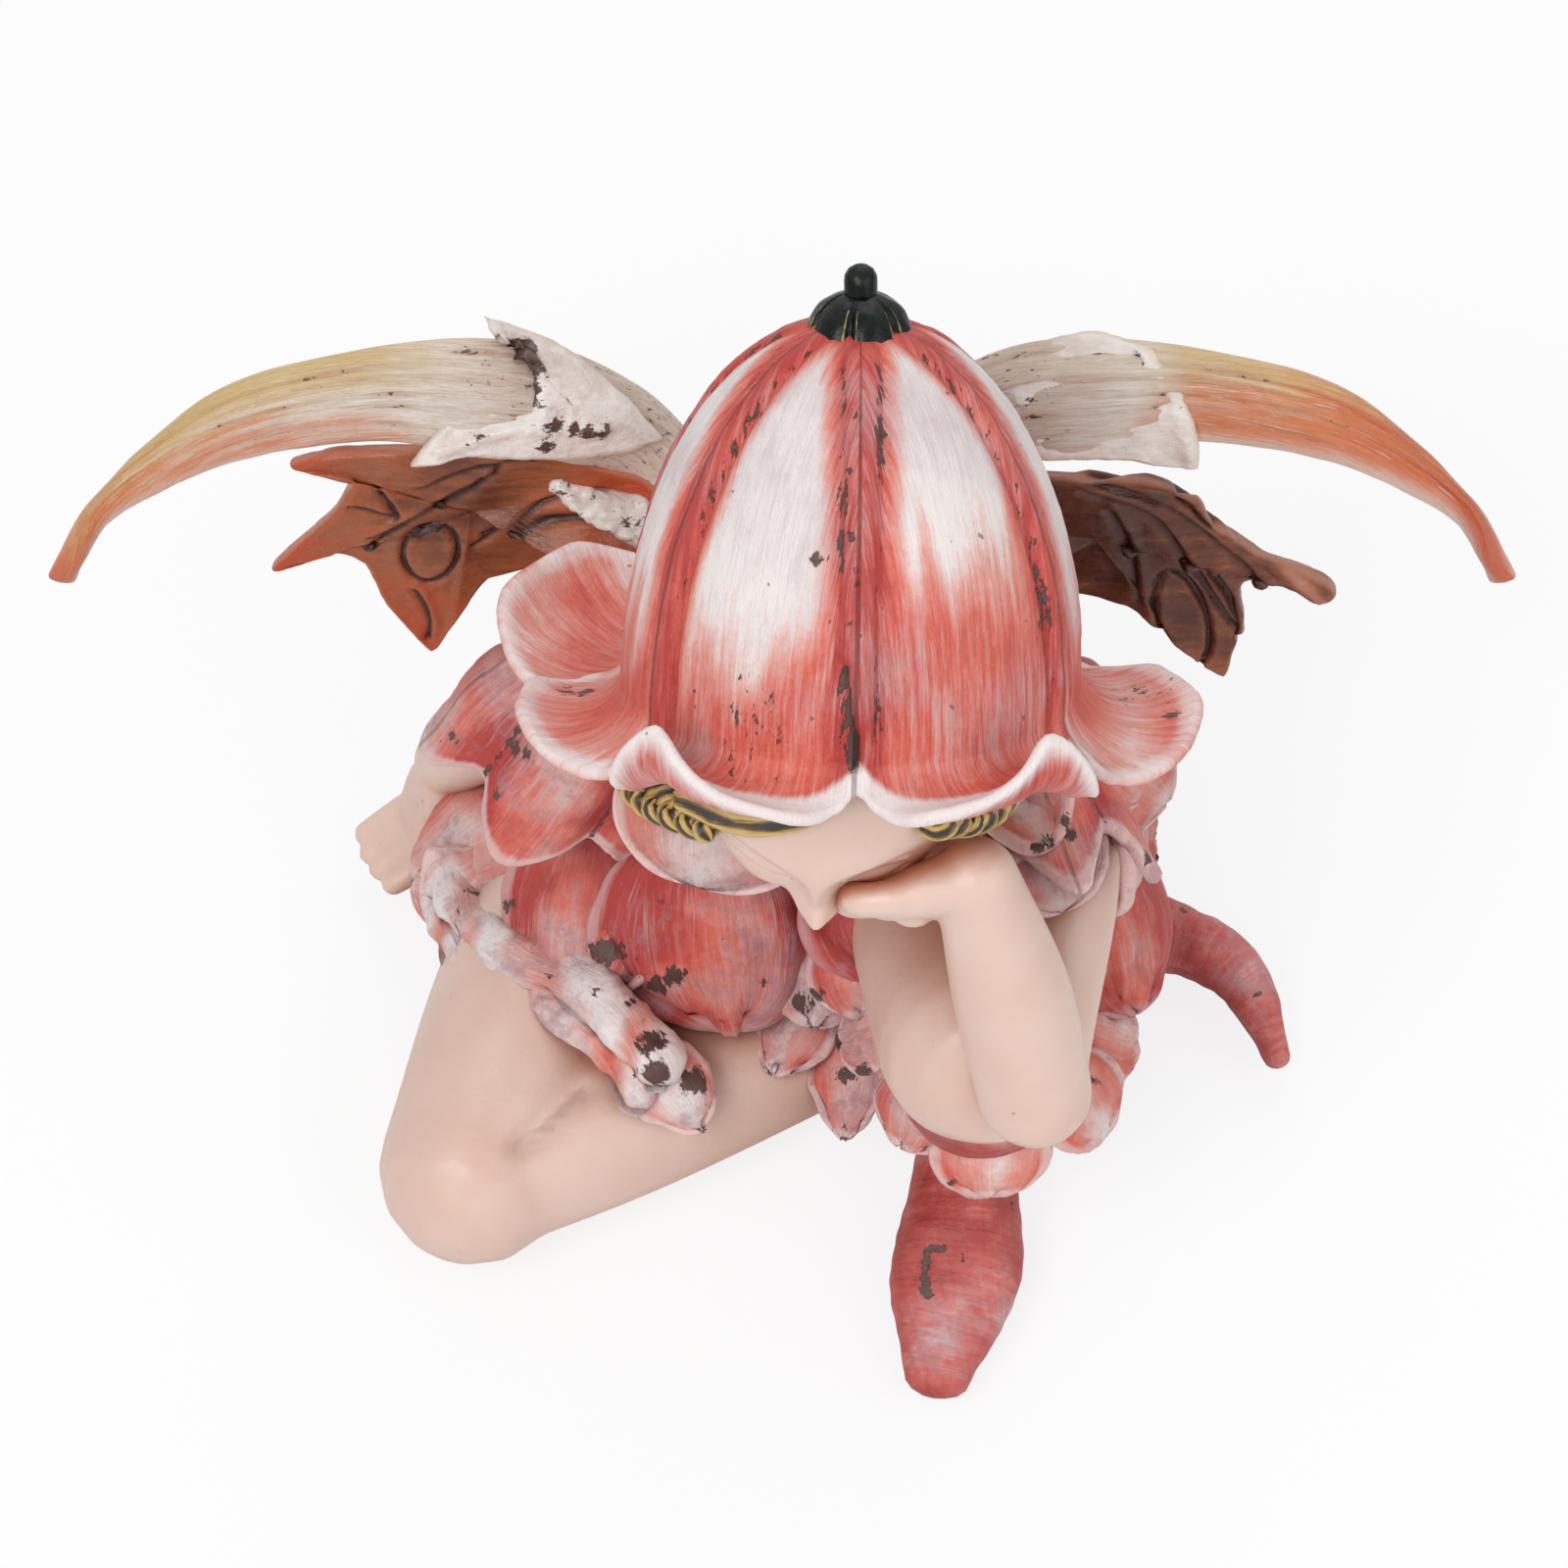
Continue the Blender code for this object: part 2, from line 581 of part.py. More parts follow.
def arms():
    """Both arms in bare skin."""
    chest = vec(*WAIST) + (vec(*NECK_BASE) - WAIST) * 0.7
    fore = 0.5 * (ELBOW_RADIUS + WRIST_RADIUS)
    right = limb([(*chest, SHOULDER_RADIUS, SHOULDER_RADIUS),
                  (*SHOULDER_R, SHOULDER_RADIUS, SHOULDER_RADIUS),
                  (*ELBOW_R, 0.85 * ELBOW_RADIUS, 0.85 * ELBOW_RADIUS),
                  (*WRIST_R, WRIST_RADIUS, WRIST_RADIUS)], 8, 7, "skin", up=(1, 0.2, 0.1))
    upper = limb([(*chest, SHOULDER_RADIUS, SHOULDER_RADIUS),
                  (*SHOULDER_L, SHOULDER_RADIUS, SHOULDER_RADIUS),
                  (*ELBOW_L, 0.88 * ELBOW_RADIUS, 0.88 * ELBOW_RADIUS)], 9, 6, "skin")
    middle = 0.5 * (vec(*ELBOW_L) + WRIST_L) + FOREARM_BOW
    lower = limb([(*ELBOW_L, ELBOW_RADIUS, ELBOW_RADIUS),
                  (*middle, fore + 0.9, fore + 0.9),
                  (*WRIST_L, WRIST_RADIUS, WRIST_RADIUS)], 10, 6, "skin", up=(0, 1, 0))
    return [right, upper, lower]


def hand(wrist, knuckle, across, reach, bend, palm_half, thumb):
    """A palm with four fingers side by side and a thumb."""
    wrist = vec(*wrist)
    knuckle = vec(*knuckle)
    across = unit(across)
    size = FINGER_RADIUS
    parts = [limb([(*wrist, WRIST_RADIUS * 0.85, WRIST_RADIUS * 0.75),
                   (*(0.5 * (wrist + knuckle)), palm_half * 0.95, 2.75),
                   (*knuckle, palm_half, 2.1)], 8, 4, "skin", up=np.cross(across, knuckle - wrist))]
    for n in range(4):
        offset = (n - 1.5) / 1.5 * (palm_half - size * 0.8)
        start = knuckle + across * offset
        long = 1.0 - 0.08 * abs(n - 1.3)
        mid = start + vec(*reach) * 0.5 * long
        tip = mid + vec(*bend) * 0.5 * long
        parts.append(limb([(*start, size, size), (*mid, size * 0.95, size * 0.95),
                           (*tip, size * 0.8, size * 0.8)], 6, 4, "skin", up=across))
    root, end = thumb
    parts.append(limb([(*vec(*root), size * 1.3, size * 1.3), (*vec(*end), size, size)],
                      6, 3, "skin", up=across))
    return parts


def hands():
    """The right hand flat on the floor, the left one curled under the cheek."""
    right = hand(WRIST_R, (-40.0, 0.6, 7.5), (0.42, -0.9, 0.1), (-5.5, -2.2, -3.0),
                 (-5.5, -2.6, -2.4), 5.2, ((-35.5, -1.5, 11), (-38.5, -7.5, 3.6)))
    left = hand(WRIST_L, (9.6, -48.2, 81.4), (0.1, -0.45, 0.9), (-7.5, 1.0, -2.2),
                (-0.5, 6.0, -3.0), 4.3, ((12.0, -47.0, 78.0), (6.5, -43.0, 76.0)))
    return right + left


def legs():
    """The folded right leg, flat on the floor, and the raised left leg."""
    thigh_r = limb([(*HIP_R, THIGH_RADIUS, THIGH_RADIUS),
                    (-24.5, -20.0, 13.0, THIGH_RADIUS, 12.5),
                    (*KNEE_R, KNEE_RADIUS, KNEE_RADIUS)], 12, 6, "skin")
    calf = vec(*KNEE_R) * 0.62 + vec(*ANKLE_R) * 0.38
    shin_r = limb([(*KNEE_R, 0.86 * KNEE_RADIUS, 0.9 * KNEE_RADIUS),
                   (*calf, CALF_RADIUS, CALF_RADIUS + 1.0),
                   (*ANKLE_R, ANKLE_RADIUS, ANKLE_RADIUS + 1.5)], 12, 7, "skin")
    thigh_l = limb([(*HIP_L, THIGH_RADIUS - 1, THIGH_RADIUS),
                    (16.0, -20.0, 31.0, THIGH_RADIUS - 1.5, 12.0),
                    (*KNEE_L, 1.0 * KNEE_RADIUS, 0.98 * KNEE_RADIUS)], 12, 6, "skin")
    shin_l = limb([(*KNEE_L, 0.88 * KNEE_RADIUS, 0.84 * KNEE_RADIUS),
                   (20.4, -40.5, 29.0, CALF_RADIUS, CALF_RADIUS),
                   (*ANKLE_L, ANKLE_RADIUS, ANKLE_RADIUS)], 12, 6, "boot", up=(0, 1, 0))
    return [thigh_r, shin_r, thigh_l, shin_l]


def boots():
    """Two soft boots, the right one curved round to a pointed toe."""
    heel = vec(*ANKLE_L) + vec(0.2, 3.5, -3.5)
    toe = vec(*TOE_L)
    ball_l = heel * 0.35 + toe * 0.65 + vec(0.6, 0, 1.0)
    left = limb([(*heel, 0.36 * BOOT_WIDTH, 0.55 * BOOT_HEIGHT),
                 (*(0.7 * heel + 0.3 * toe + vec(0.3, 0, 1.2)), 0.44 * BOOT_WIDTH, 0.62 * BOOT_HEIGHT),
                 (*ball_l, 0.52 * BOOT_WIDTH, 0.5 * BOOT_HEIGHT),
                 (*toe, 0.26 * BOOT_WIDTH, 0.24 * BOOT_HEIGHT)], 12, 8, "boot")
    tip = vec(*TOE_R)
    right = limb([(*ANKLE_R, ANKLE_RADIUS + 0.6, ANKLE_RADIUS + 1.2),
                  (31.0, -12.5, 8.0, 6.2, 6.2),
                  (43.0, -11.0, 7.5, 4.2, 5.0),
                  (50.6, -15.8, 6.4, 3.3, 3.8),
                  (*tip, 1.5, 1.5)], 10, 8, "boot")
    return [left, right]


# Cuff petals of the boots: base, direction, facing, length, width, curl, pointed
CUFF_PETALS = (
    ((14.5, -41.0, 33.0), (-0.35, -0.55, -0.6), (-0.6, -0.5, 0.5), 10, 10, -35, 0.0),
    ((21.0, -44.0, 33.0), (0.0, -0.75, -0.65), (0, -0.7, 0.6), 12, 12.5, -35, 0.0),
    ((27.5, -40.5, 33.5), (0.55, -0.5, -0.5), (0.6, -0.5, 0.5), 10.5, 11, -35, 0.0),
    ((28.0, -35.0, 33.0), (0.85, 0.1, -0.5), (0.8, 0, 0.5), 12, 12, -35, 0.0),
    ((13.0, -35.0, 33.0), (-0.85, 0.1, -0.5), (-0.8, 0, 0.5), 10, 11, -35, 0.0),
    ((20.0, -31.0, 32.0), (0.0, 0.8, -0.5), (0, 0.8, 0.5), 10, 12, -35, 0.0),
    ((7.5, -27.0, 20.0), (-0.1, -0.8, -0.5), (-0.2, -0.6, 0.7), 15, 9, -20, 0.7),
    ((4.5, -24.0, 20.0), (-0.45, -0.75, -0.1), (-0.2, -0.4, 0.9), 12, 9, -30, 0.4),
    ((10.0, -25.0, 22.0), (0.3, -0.85, -0.1), (0, -0.3, 1), 11, 9, -40, 0.4),
    ((4.0, -22.0, 30.0), (-0.1, -0.8, -0.4), (-0.2, -0.5, 0.8), 12, 11, -30, 0.1),
    ((7.0, -24.0, 36.0), (0.1, -0.85, -0.2), (0, -0.4, 0.9), 12, 11, -45, 0.3),
)


def cuffs():
    """Petals that stand out over the boots and fill the space between the legs."""
    parts = []
    for base, out, face, length, width, curl, point in CUFF_PETALS:
        parts.append(petal(base, out, face, length, width, curl, -0.2, point=point, rows=4))
    return parts


# Wing outlines on the viewer's left: the two edges of the fore wing and the
# closed outlines of its overlaid leaf and of the hind wing
FORE_FRONT = ((-3.0, -9.0, 61.0), (-13.5, 4.0, 70.0), (-21.8, 3.6, 76.0), (-28.3, 2.7, 78.0),
              (-40.3, 4.7, 78.0), (-54.2, 4.3, 75.0), (-65.4, 2.7, 69.0), (-70.2, 2.3, 61.5),
              (-71.8, 1.6, 58.0))
FORE_BACK = ((-3.0, 0.5, 64.0), (-10.5, 11.0, 72.0), (-19.5, 12.0, 82.0), (-29.0, 12.2, 85.0),
             (-41.6, 12.2, 83.0), (-56.0, 10.0, 79.0), (-68.5, 4.6, 69.0), (-73.0, 1.9, 62.0),
             (-74.4, 1.3, 59.0))
LEAF = ((-12.0, 7.0, 75.0), (-20.0, 11.6, 83.0), (-29.2, 13.2, 87.4), (-27.5, 11.2, 85.6),
        (-24.6, 9.0, 83.6), (-29.4, 7.0, 82.0), (-33.0, 5.2, 80.6), (-36.5, 1.7, 78.2),
        (-30.0, 2.4, 78.6), (-21.5, 3.0, 77.0))
HIND = ((-2.0, -10.0, 60.5), (-8.5, 0.5, 67.5), (-14.0, 5.0, 72.0), (-28.0, 5.0, 77.0),
        (-43.5, 4.6, 77.0), (-48.7, 5.0, 74.5), (-45.5, 3.8, 71.0), (-47.6, 3.2, 66.0),
        (-51.6, 2.1, 60.0), (-45.5, 2.9, 62.0), (-42.4, 2.8, 60.0), (-40.4, 1.6, 54.0),
        (-36.3, 0.0, 47.6), (-33.6, 0.6, 52.0), (-29.9, 2.6, 57.5), (-19.0, 3.8, 60.0),
        (-9.0, -1.0, 59.5))
HIND_CENTRE = (-31.0, 4.4, 68.0)
LEAF_CENTRE = (-21.0, 6.8, 81.4)
MIRROR_R = -0.995
LEAF_MIRROR_R = -1.25
LEAF_SHIFT_R = (-2.5, 0.5, 0.0)
HIND_LEAN_R = 0.45
HIND_SHIFT_R = (1.2, -1.0, -3.2)
WING_ROOT_Z = 66.0


def edge_sheet(front, back, material, around, steps):
    """A wing blade between two edges, thick at the root, domed on its upper side."""
    a = spline(front, steps)
    b = spline(back, steps)
    rings = []
    turns = np.arange(around) * 2 * math.pi / around
    for i in range(steps):
        s = i / (steps - 1)
        middle = 0.5 * (a[i] + b[i])
        across = 0.5 * (b[i] - a[i])
        after = min(i + 1, steps - 1)
        before = max(i - 1, 0)
        ahead = a[after] + b[after] - a[before] - b[before]
        normal = unit(np.cross(across, ahead))
        normal = normal if normal[2] > 0 else -normal
        root = max(0.0, 1 - 3.2 * s)
        thick = 0.5 * (WING_THICKNESS + (WING_ROOT_THICKNESS - WING_THICKNESS) * root)
        thick *= 1 - 0.35 * s ** 4
        dome = WING_BULGE * math.sin(math.pi * min(1, 0.08 + s * 0.92)) ** 0.5
        x = np.cos(turns)
        y = thick * np.sign(np.sin(turns)) * np.abs(np.sin(turns)) ** 0.7 + dome * (1 - x ** 2)
        rings.append(middle + np.outer(x, across) + np.outer(y, normal))
    return skin(rings, material)


def outline_sheet(outline, centre, thick, material, dome, per_side=1):
    """A flat leaf with any outline that can be seen whole from its centre."""
    loop = np.array(outline, float)
    centre = vec(*centre)
    count = len(loop) * per_side
    share = np.arange(count) / per_side
    low = share.astype(int)
    blend = (share - low)[:, None]
    loop = loop[low] * (1 - blend) + loop[(low + 1) % len(loop)] * blend
    spans = loop - centre
    normal = unit(sum(np.cross(spans[k], spans[(k + 1) % count]) for k in range(count)))
    normal = normal if normal[1] < 0 or normal[2] > 0.8 else -normal
    rings = []
    for scale, height in ((0.45, 1), (0.93, 0.85), (1.0, 0), (0.93, -0.85), (0.45, -1)):
        lift = 0.5 * thick * height + dome * (1 - scale ** 2)
        rings.append(centre + spans * scale + normal * lift)
    return skin(rings, material, centre + normal * (0.5 * thick + dome),
                centre + normal * (dome - 0.5 * thick))


def right_side(part, mirror=MIRROR_R, lean=0.0, shift=(0, 0, 0)):
    """A left wing's form mirrored to the right, leaned outward below its root and shifted."""
    verts, faces, material = part
    verts = verts * vec(mirror, 1, 1)
    verts[:, 0] += lean * (WING_ROOT_Z - verts[:, 2])
    return verts + vec(*shift), faces, material


def wings():
    """Two fore wings, each with its overlaid leaf, and two hind wings."""
    fore = edge_sheet(FORE_FRONT, FORE_BACK, "wing_top", 8, 14)
    leaf = outline_sheet(LEAF, LEAF_CENTRE, WING_THICKNESS, "wing_top", LEAF_DOME)
    hind = outline_sheet(HIND, HIND_CENTRE, HIND_THICKNESS, "wing_low", HIND_DOME)
    return [fore, leaf, hind, right_side(fore),
            right_side(leaf, LEAF_MIRROR_R, shift=LEAF_SHIFT_R),
            right_side(hind, lean=HIND_LEAN_R, shift=HIND_SHIFT_R)]


def all_parts():
    """Every form of the figurine as vertices, faces and a colour name."""
    face_levels = np.radians([-70, -56, -46, -38, -31, -24, -16, -8, 0, 10, 24, 55])
    parts = [hat(6, 4)]
    parts += calyx()
    parts.append(head(head_columns(), face_levels))
    parts += hair()
    parts += torso()
    parts.append(skirt(24, 6))
    parts += back_petals()
    parts += dress_petals()
    parts += hem()
    parts += collar()
    parts += sleeves()
    parts += arms()
    parts += hands()
    parts += legs()
    parts += boots()
    parts += cuffs()
    parts += wings()
    return parts


def colour(name):
    """A material in one of the figurine's painted colours."""
    material = bpy.data.materials.new(name)
    material.use_nodes = True
    surface = material.node_tree.nodes["Principled BSDF"]
    surface.inputs["Base Color"].default_value = COLOURS[name]
    surface.inputs["Roughness"].default_value = 0.45
    surface.inputs["Metallic"].default_value = 0.0
    material.diffuse_color = COLOURS[name]
    return material


def make_object(name, part, materials, collection):
    """A Blender object from one form, its faces turned outward."""
    verts, faces, material = part
    mesh = bpy.data.meshes.new(name)
    mesh.from_pydata((np.asarray(verts) * MM).tolist(), [], [tuple(f) for f in faces])
    mesh.materials.append(materials[material])
    shape = bmesh.new()
    shape.from_mesh(mesh)
    bmesh.ops.triangulate(shape, faces=shape.faces)
    bmesh.ops.recalc_face_normals(shape, faces=shape.faces)
    shape.to_mesh(mesh)
    shape.free()
    made = bpy.data.objects.new(name, mesh)
    collection.objects.link(made)
    return made


def boolean(target, operation, operand_object=None, operand_collection=None):
    """Adds an exact Boolean modifier."""
    step = target.modifiers.new(operation.title(), "BOOLEAN")
    step.operation = operation
    step.solver = "EXACT"
    if operand_collection:
        step.operand_type = "COLLECTION"
        step.collection = operand_collection
    else:
        step.object = operand_object
    step.material_mode = "TRANSFER"
    return step


def outer_shell(mesh):
    """Keeps only the largest connected surface, without any enclosed void."""
    shape = bmesh.new()
    shape.from_mesh(mesh)
    left = set(shape.verts)
    groups = []
    while left:
        seed = left.pop()
        group = {seed}
        front = [seed]
        while front:
            for edge in front.pop().link_edges:
                for vert in edge.verts:
                    if vert in left:
                        left.remove(vert)
                        group.add(vert)
                        front.append(vert)
        groups.append(group)
    groups.sort(key=len)
    for group in groups[:-1]:
        bmesh.ops.delete(shape, geom=list(group), context="VERTS")
    shape.to_mesh(mesh)
    shape.free()


def thinned(mesh, pinches):
    """A copy of the surface with nearly flat faces merged, left alone near the pinches."""
    shape = bmesh.new()
    shape.from_mesh(mesh)
    verts = {v for v in shape.verts
             if all((v.co - place).length > PINCH_REACH * MM for place in pinches)}
    edges = [e for e in shape.edges if verts.issuperset(e.verts)]
    bmesh.ops.dissolve_limit(shape, angle_limit=FLAT_ENOUGH, verts=list(verts), edges=edges,
                             delimit={"MATERIAL"})
    bmesh.ops.triangulate(shape, faces=shape.faces)
    return shape


def thin(mesh):
    """Merges nearly flat faces, except where that would pinch the surface."""
    pinches = []
    for _ in range(THIN_TRIES):
        shape = thinned(mesh, pinches)
        found = [(e.verts[0].co + e.verts[1].co) / 2 for e in shape.edges
                 if len(e.link_faces) != 2]
        if not found:
            break
        pinches += found
    shape.to_mesh(mesh)
    shape.free()


def floor_block():
    """A block that fills everything under the level the figure sits on."""
    corners = [(x, y, z) for z in (-FLOOR_DEPTH, 0) for x in (-FLOOR_REACH, FLOOR_REACH)
               for y in (-FLOOR_REACH, FLOOR_REACH)]
    sides = [(0, 1, 3, 2), (4, 5, 7, 6), (0, 1, 5, 4), (2, 3, 7, 6), (0, 2, 6, 4), (1, 3, 7, 5)]
    return corners, sides, "petal"


def main():
    for old in list(bpy.data.objects):
        bpy.data.objects.remove(old)
    scene_collection = bpy.context.scene.collection
    forms = bpy.data.collections.new("forms")
    scene_collection.children.link(forms)
    materials = {name: colour(name) for name in COLOURS}
    parts = all_parts()
    figurine = make_object("figurine", parts[0], materials, scene_collection)
    for number, part in enumerate(parts[1:]):
        make_object("form_%02d" % number, part, materials, forms)
    boolean(figurine, "UNION", operand_collection=forms)
    below = make_object("below_the_floor", floor_block(), materials, scene_collection)
    below.hide_render = True
    below.display_type = "WIRE"
    boolean(figurine, "DIFFERENCE", operand_object=below)
    graph = bpy.context.evaluated_depsgraph_get()
    fused = bpy.data.meshes.new_from_object(figurine.evaluated_get(graph))
    figurine.modifiers.clear()
    figurine.data = fused
    outer_shell(fused)
    thin(fused)
    fused.shade_smooth()
    fused.set_sharp_from_angle(angle=SHARP_EDGE)
    for old in list(forms.objects) + [below]:
        bpy.data.objects.remove(old)
    bpy.data.collections.remove(forms)


main()
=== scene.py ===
"""Looks of the seated flower fairy: hand-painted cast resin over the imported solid.

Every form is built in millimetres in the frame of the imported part: +X to the viewer's
right, -Y toward the viewer, +Z up, the origin in the middle of the flat seat. Each form
carries two values per point for its paint: flow (millimetres across and along the
brush, and a seed) and mask (rim, pale, chipped).
"""

import math

import bpy
import numpy as np
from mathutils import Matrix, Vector
from mathutils.kdtree import KDTree


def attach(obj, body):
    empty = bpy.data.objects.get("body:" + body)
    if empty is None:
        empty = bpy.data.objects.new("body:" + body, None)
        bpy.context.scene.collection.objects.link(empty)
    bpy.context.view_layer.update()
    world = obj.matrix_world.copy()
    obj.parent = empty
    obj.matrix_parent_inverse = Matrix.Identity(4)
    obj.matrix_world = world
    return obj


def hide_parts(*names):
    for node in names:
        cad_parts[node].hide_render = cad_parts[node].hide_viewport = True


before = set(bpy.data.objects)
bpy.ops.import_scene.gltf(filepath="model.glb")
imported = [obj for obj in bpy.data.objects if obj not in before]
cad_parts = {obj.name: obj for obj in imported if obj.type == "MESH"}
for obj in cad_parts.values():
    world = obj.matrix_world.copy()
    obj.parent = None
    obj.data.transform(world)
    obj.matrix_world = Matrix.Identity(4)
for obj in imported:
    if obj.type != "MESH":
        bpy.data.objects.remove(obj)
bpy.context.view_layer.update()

MM = 0.001

# Camera and light
CAMERA_PLACE = (0.0, -255.0, 460.7)
CAMERA_TARGET = (0.0, -15.0, 45.0)
CAMERA_LENS = 108.0
SENSOR = 36.0
PICTURE = 1600
LAMP_TARGET = (0, -15, 50)
# Each lamp's name, place, size and power
LAMPS = (("key", (-260, -380, 640), 380, 3.0), ("fill", (420, -320, 420), 500, 1.2),
         ("back", (60, 420, 420), 400, 0.8))
WHITE = (1.0, 1.0, 1.0, 1.0)
FLOOR_GREY = (0.86, 0.86, 0.86, 1.0)
FLOOR_REACH = 3.0
FLOOR_GLOW = 0.8
SKY_STRENGTH = 0.46

# Flower hat
HAT_CENTRE = (6.1, -31.9, 94.0)
HAT_TILT = math.radians(37.0)
HAT_RADIUS = 21.0
HAT_HEIGHT = 34.2
HAT_WALL = 2.0
HAT_HOLLOW = 6.0
HAT_SEAMS = (0, 63, 122, 187, 253, 302, 360)
HAT_RIB = 0.75
HAT_RIB_WIDTH = 2.6
HAT_GROOVE = 0.55
PETAL_BULGE = 0.5
HAT_ROLL_START = 0.6
HAT_COLUMNS = 44
HAT_ROWS = 84
HAT_FLARE_ROWS = 30
HAT_THIN_RIM = 0.62
CALYX_RADIUS = 4.5
CALYX_HEIGHT = 5.0

# Head
HEAD_CENTRE = (4.6, -34.2, 88.5)
HEAD_SIZE = (27.4, 29.5, 33.5)
HEAD_BOW = math.radians(14.0)
HEAD_TURN = math.radians(-6.0)
HAIR_THICKNESS = 1.0
BRAID_RADIUS = 1.9
NECK_RADIUS = 5.4

# Joints of the body
NECK_BASE = (4.0, -20.0, 66.0)
WAIST = (1.5, -6.0, 40.0)
PELVIS = (0.0, 3.0, 12.0)
SHOULDER_R = (-21.0, -9.5, 59.0)
SHOULDER_L = (26.5, -24.0, 59.5)
ELBOW_R = (-27.5, -4.5, 41.0)
WRIST_R = (-36.5, 3.4, 18.0)
ELBOW_L = (24.2, -53.6, 52.5)
WRIST_L = (17.6, -46.8, 83.0)
HIP_R = (-11.0, 2.0, 13.0)
KNEE_R = (-32.8, -42.0, 10.2)
ANKLE_R = (18.0, -19.5, 8.5)
HIP_L = (10.0, 2.0, 16.0)
KNEE_L = (19.6, -44.5, 45.0)
ANKLE_L = (19.8, -37.0, 10.0)
SHOULDER_RADIUS = 5.5
ELBOW_RADIUS = 5.6
WRIST_RADIUS = 3.9
THIGH_RADIUS = 12.0
KNEE_RADIUS = 10.4
CALF_RADIUS = 8.6
ANKLE_RADIUS = 5.6
FINGER_RADIUS = 1.7

# Dress
CHEST_SIZE = (42.0, 21.0)
WAIST_SIZE = (31.0, 23.0)
SKIRT_SIZE = (70.0, 46.0)
BACK_PETAL_ANGLES = (-20, 22, 64, 106, 148, 190)
BACK_PETAL_SIZE = (37.0, 27.6)
SLEEVE_WALL = 1.6

# Petals: thickness, narrowness at the base, widest place, waves and lip of the rim, and
# the share of the length over which the tip thins out
CLOTH = 1.8
PETAL_NECK = 0.45
PETAL_WIDEST = 0.58
PETAL_WAVES = 3.0
PETAL_LIP = 0.5
PETAL_TAPER = 0.12

# Boots
BOOT_WIDTH = 13.0
BOOT_HEIGHT = 9.5
TOE_L = (16.0, -62.6, 3.2)
TOE_R = (53.4, -25.5, 4.2)

# How far a point may lie from a line of sight and still be taken as seen
SIGHT_WIDTH = 0.8

# Wings
WING_THICKNESS = 1.7
WING_ROOT_THICKNESS = 4.0
WING_BULGE = 1.6


def vec(*values):
    """A point or direction as an array."""
    return np.array(values, float)


def unit(v):
    """The direction of v."""
    return np.asarray(v, float) / np.linalg.norm(v)


def ease(x, low=0.0, high=1.0):
    """A smooth step from 0 at low to 1 at high."""
    t = np.clip((np.asarray(x, float) - low) / (high - low), 0, 1)
    return t * t * (3 - 2 * t)


def bell(x, width=1.0):
    """1 where x is 0, falling to 0 a few widths away."""
    return np.exp(-(x / width) ** 2)


def circle(count, shift=0.0):
    """Even angles round a full turn."""
    return (np.arange(count) + shift) * 2 * math.pi / count


def triple(a, b, c):
    """Three values or arrays side by side."""
    return np.stack(np.broadcast_arrays(a, b, c), axis=-1).astype(float)


def units(vectors):
    """The directions of many vectors."""
    return vectors / np.linalg.norm(vectors, axis=-1)[..., None]


def run_of(path):
    """The distance along a path at each of its points."""
    return np.concatenate([[0], np.cumsum(np.linalg.norm(np.diff(path, axis=0), axis=1))])


def frame_along(path, up):
    """The heading, side and rise of a path at each of its points."""
    heading = units(np.gradient(path, axis=0))
    side = units(np.cross(heading, up))
    return heading, side, np.cross(side, heading)


def curve_point(a, b, c, d, t):
    """A point between b and c on the smooth curve through a, b, c and d."""
    return 0.5 * (2 * b + (c - a) * t + (2 * a - 5 * b + 4 * c - d) * t ** 2
                  + (3 * b - a - 3 * c + d) * t ** 3)


def spline(stations, count):
    """Even samples of one smooth curve through the stations, whatever they hold."""
    knots = np.array(stations, float)
    knots = np.vstack([2 * knots[0] - knots[1], knots, 2 * knots[-1] - knots[-2]])
    places = np.linspace(0, len(knots) - 3, count)
    span = np.minimum(places.astype(int), len(knots) - 4)
    t = (places - span)[:, None]
    return curve_point(*(knots[span + k] for k in range(4)), t)


def wobble(points, size, seed=0):
    """Smooth unevenness from -1 to 1 over points, with lumps of one size."""
    q = np.asarray(points, float) / size + 31.7 + 5.3 * seed
    cell = np.floor(q).astype(np.int64)
    f = q - cell
    f = f * f * (3 - 2 * f)
    total = np.zeros(q.shape[:-1])
    for corner in range(8):
        step = np.array([corner & 1, corner >> 1 & 1, corner >> 2 & 1])
        at = cell + step
        n = at[..., 0] * 73856093 ^ at[..., 1] * 19349663 ^ at[..., 2] * 83492791 ^ seed * 2654435
        n = (n ^ (n >> 13)) * 1274126177 & 0xFFFFFFFF
        n = (n ^ (n >> 16)) & 0xFFFF
        total += n / 65535.0 * np.prod(np.where(step, f, 1 - f), axis=-1)
    return 2 * total - 1


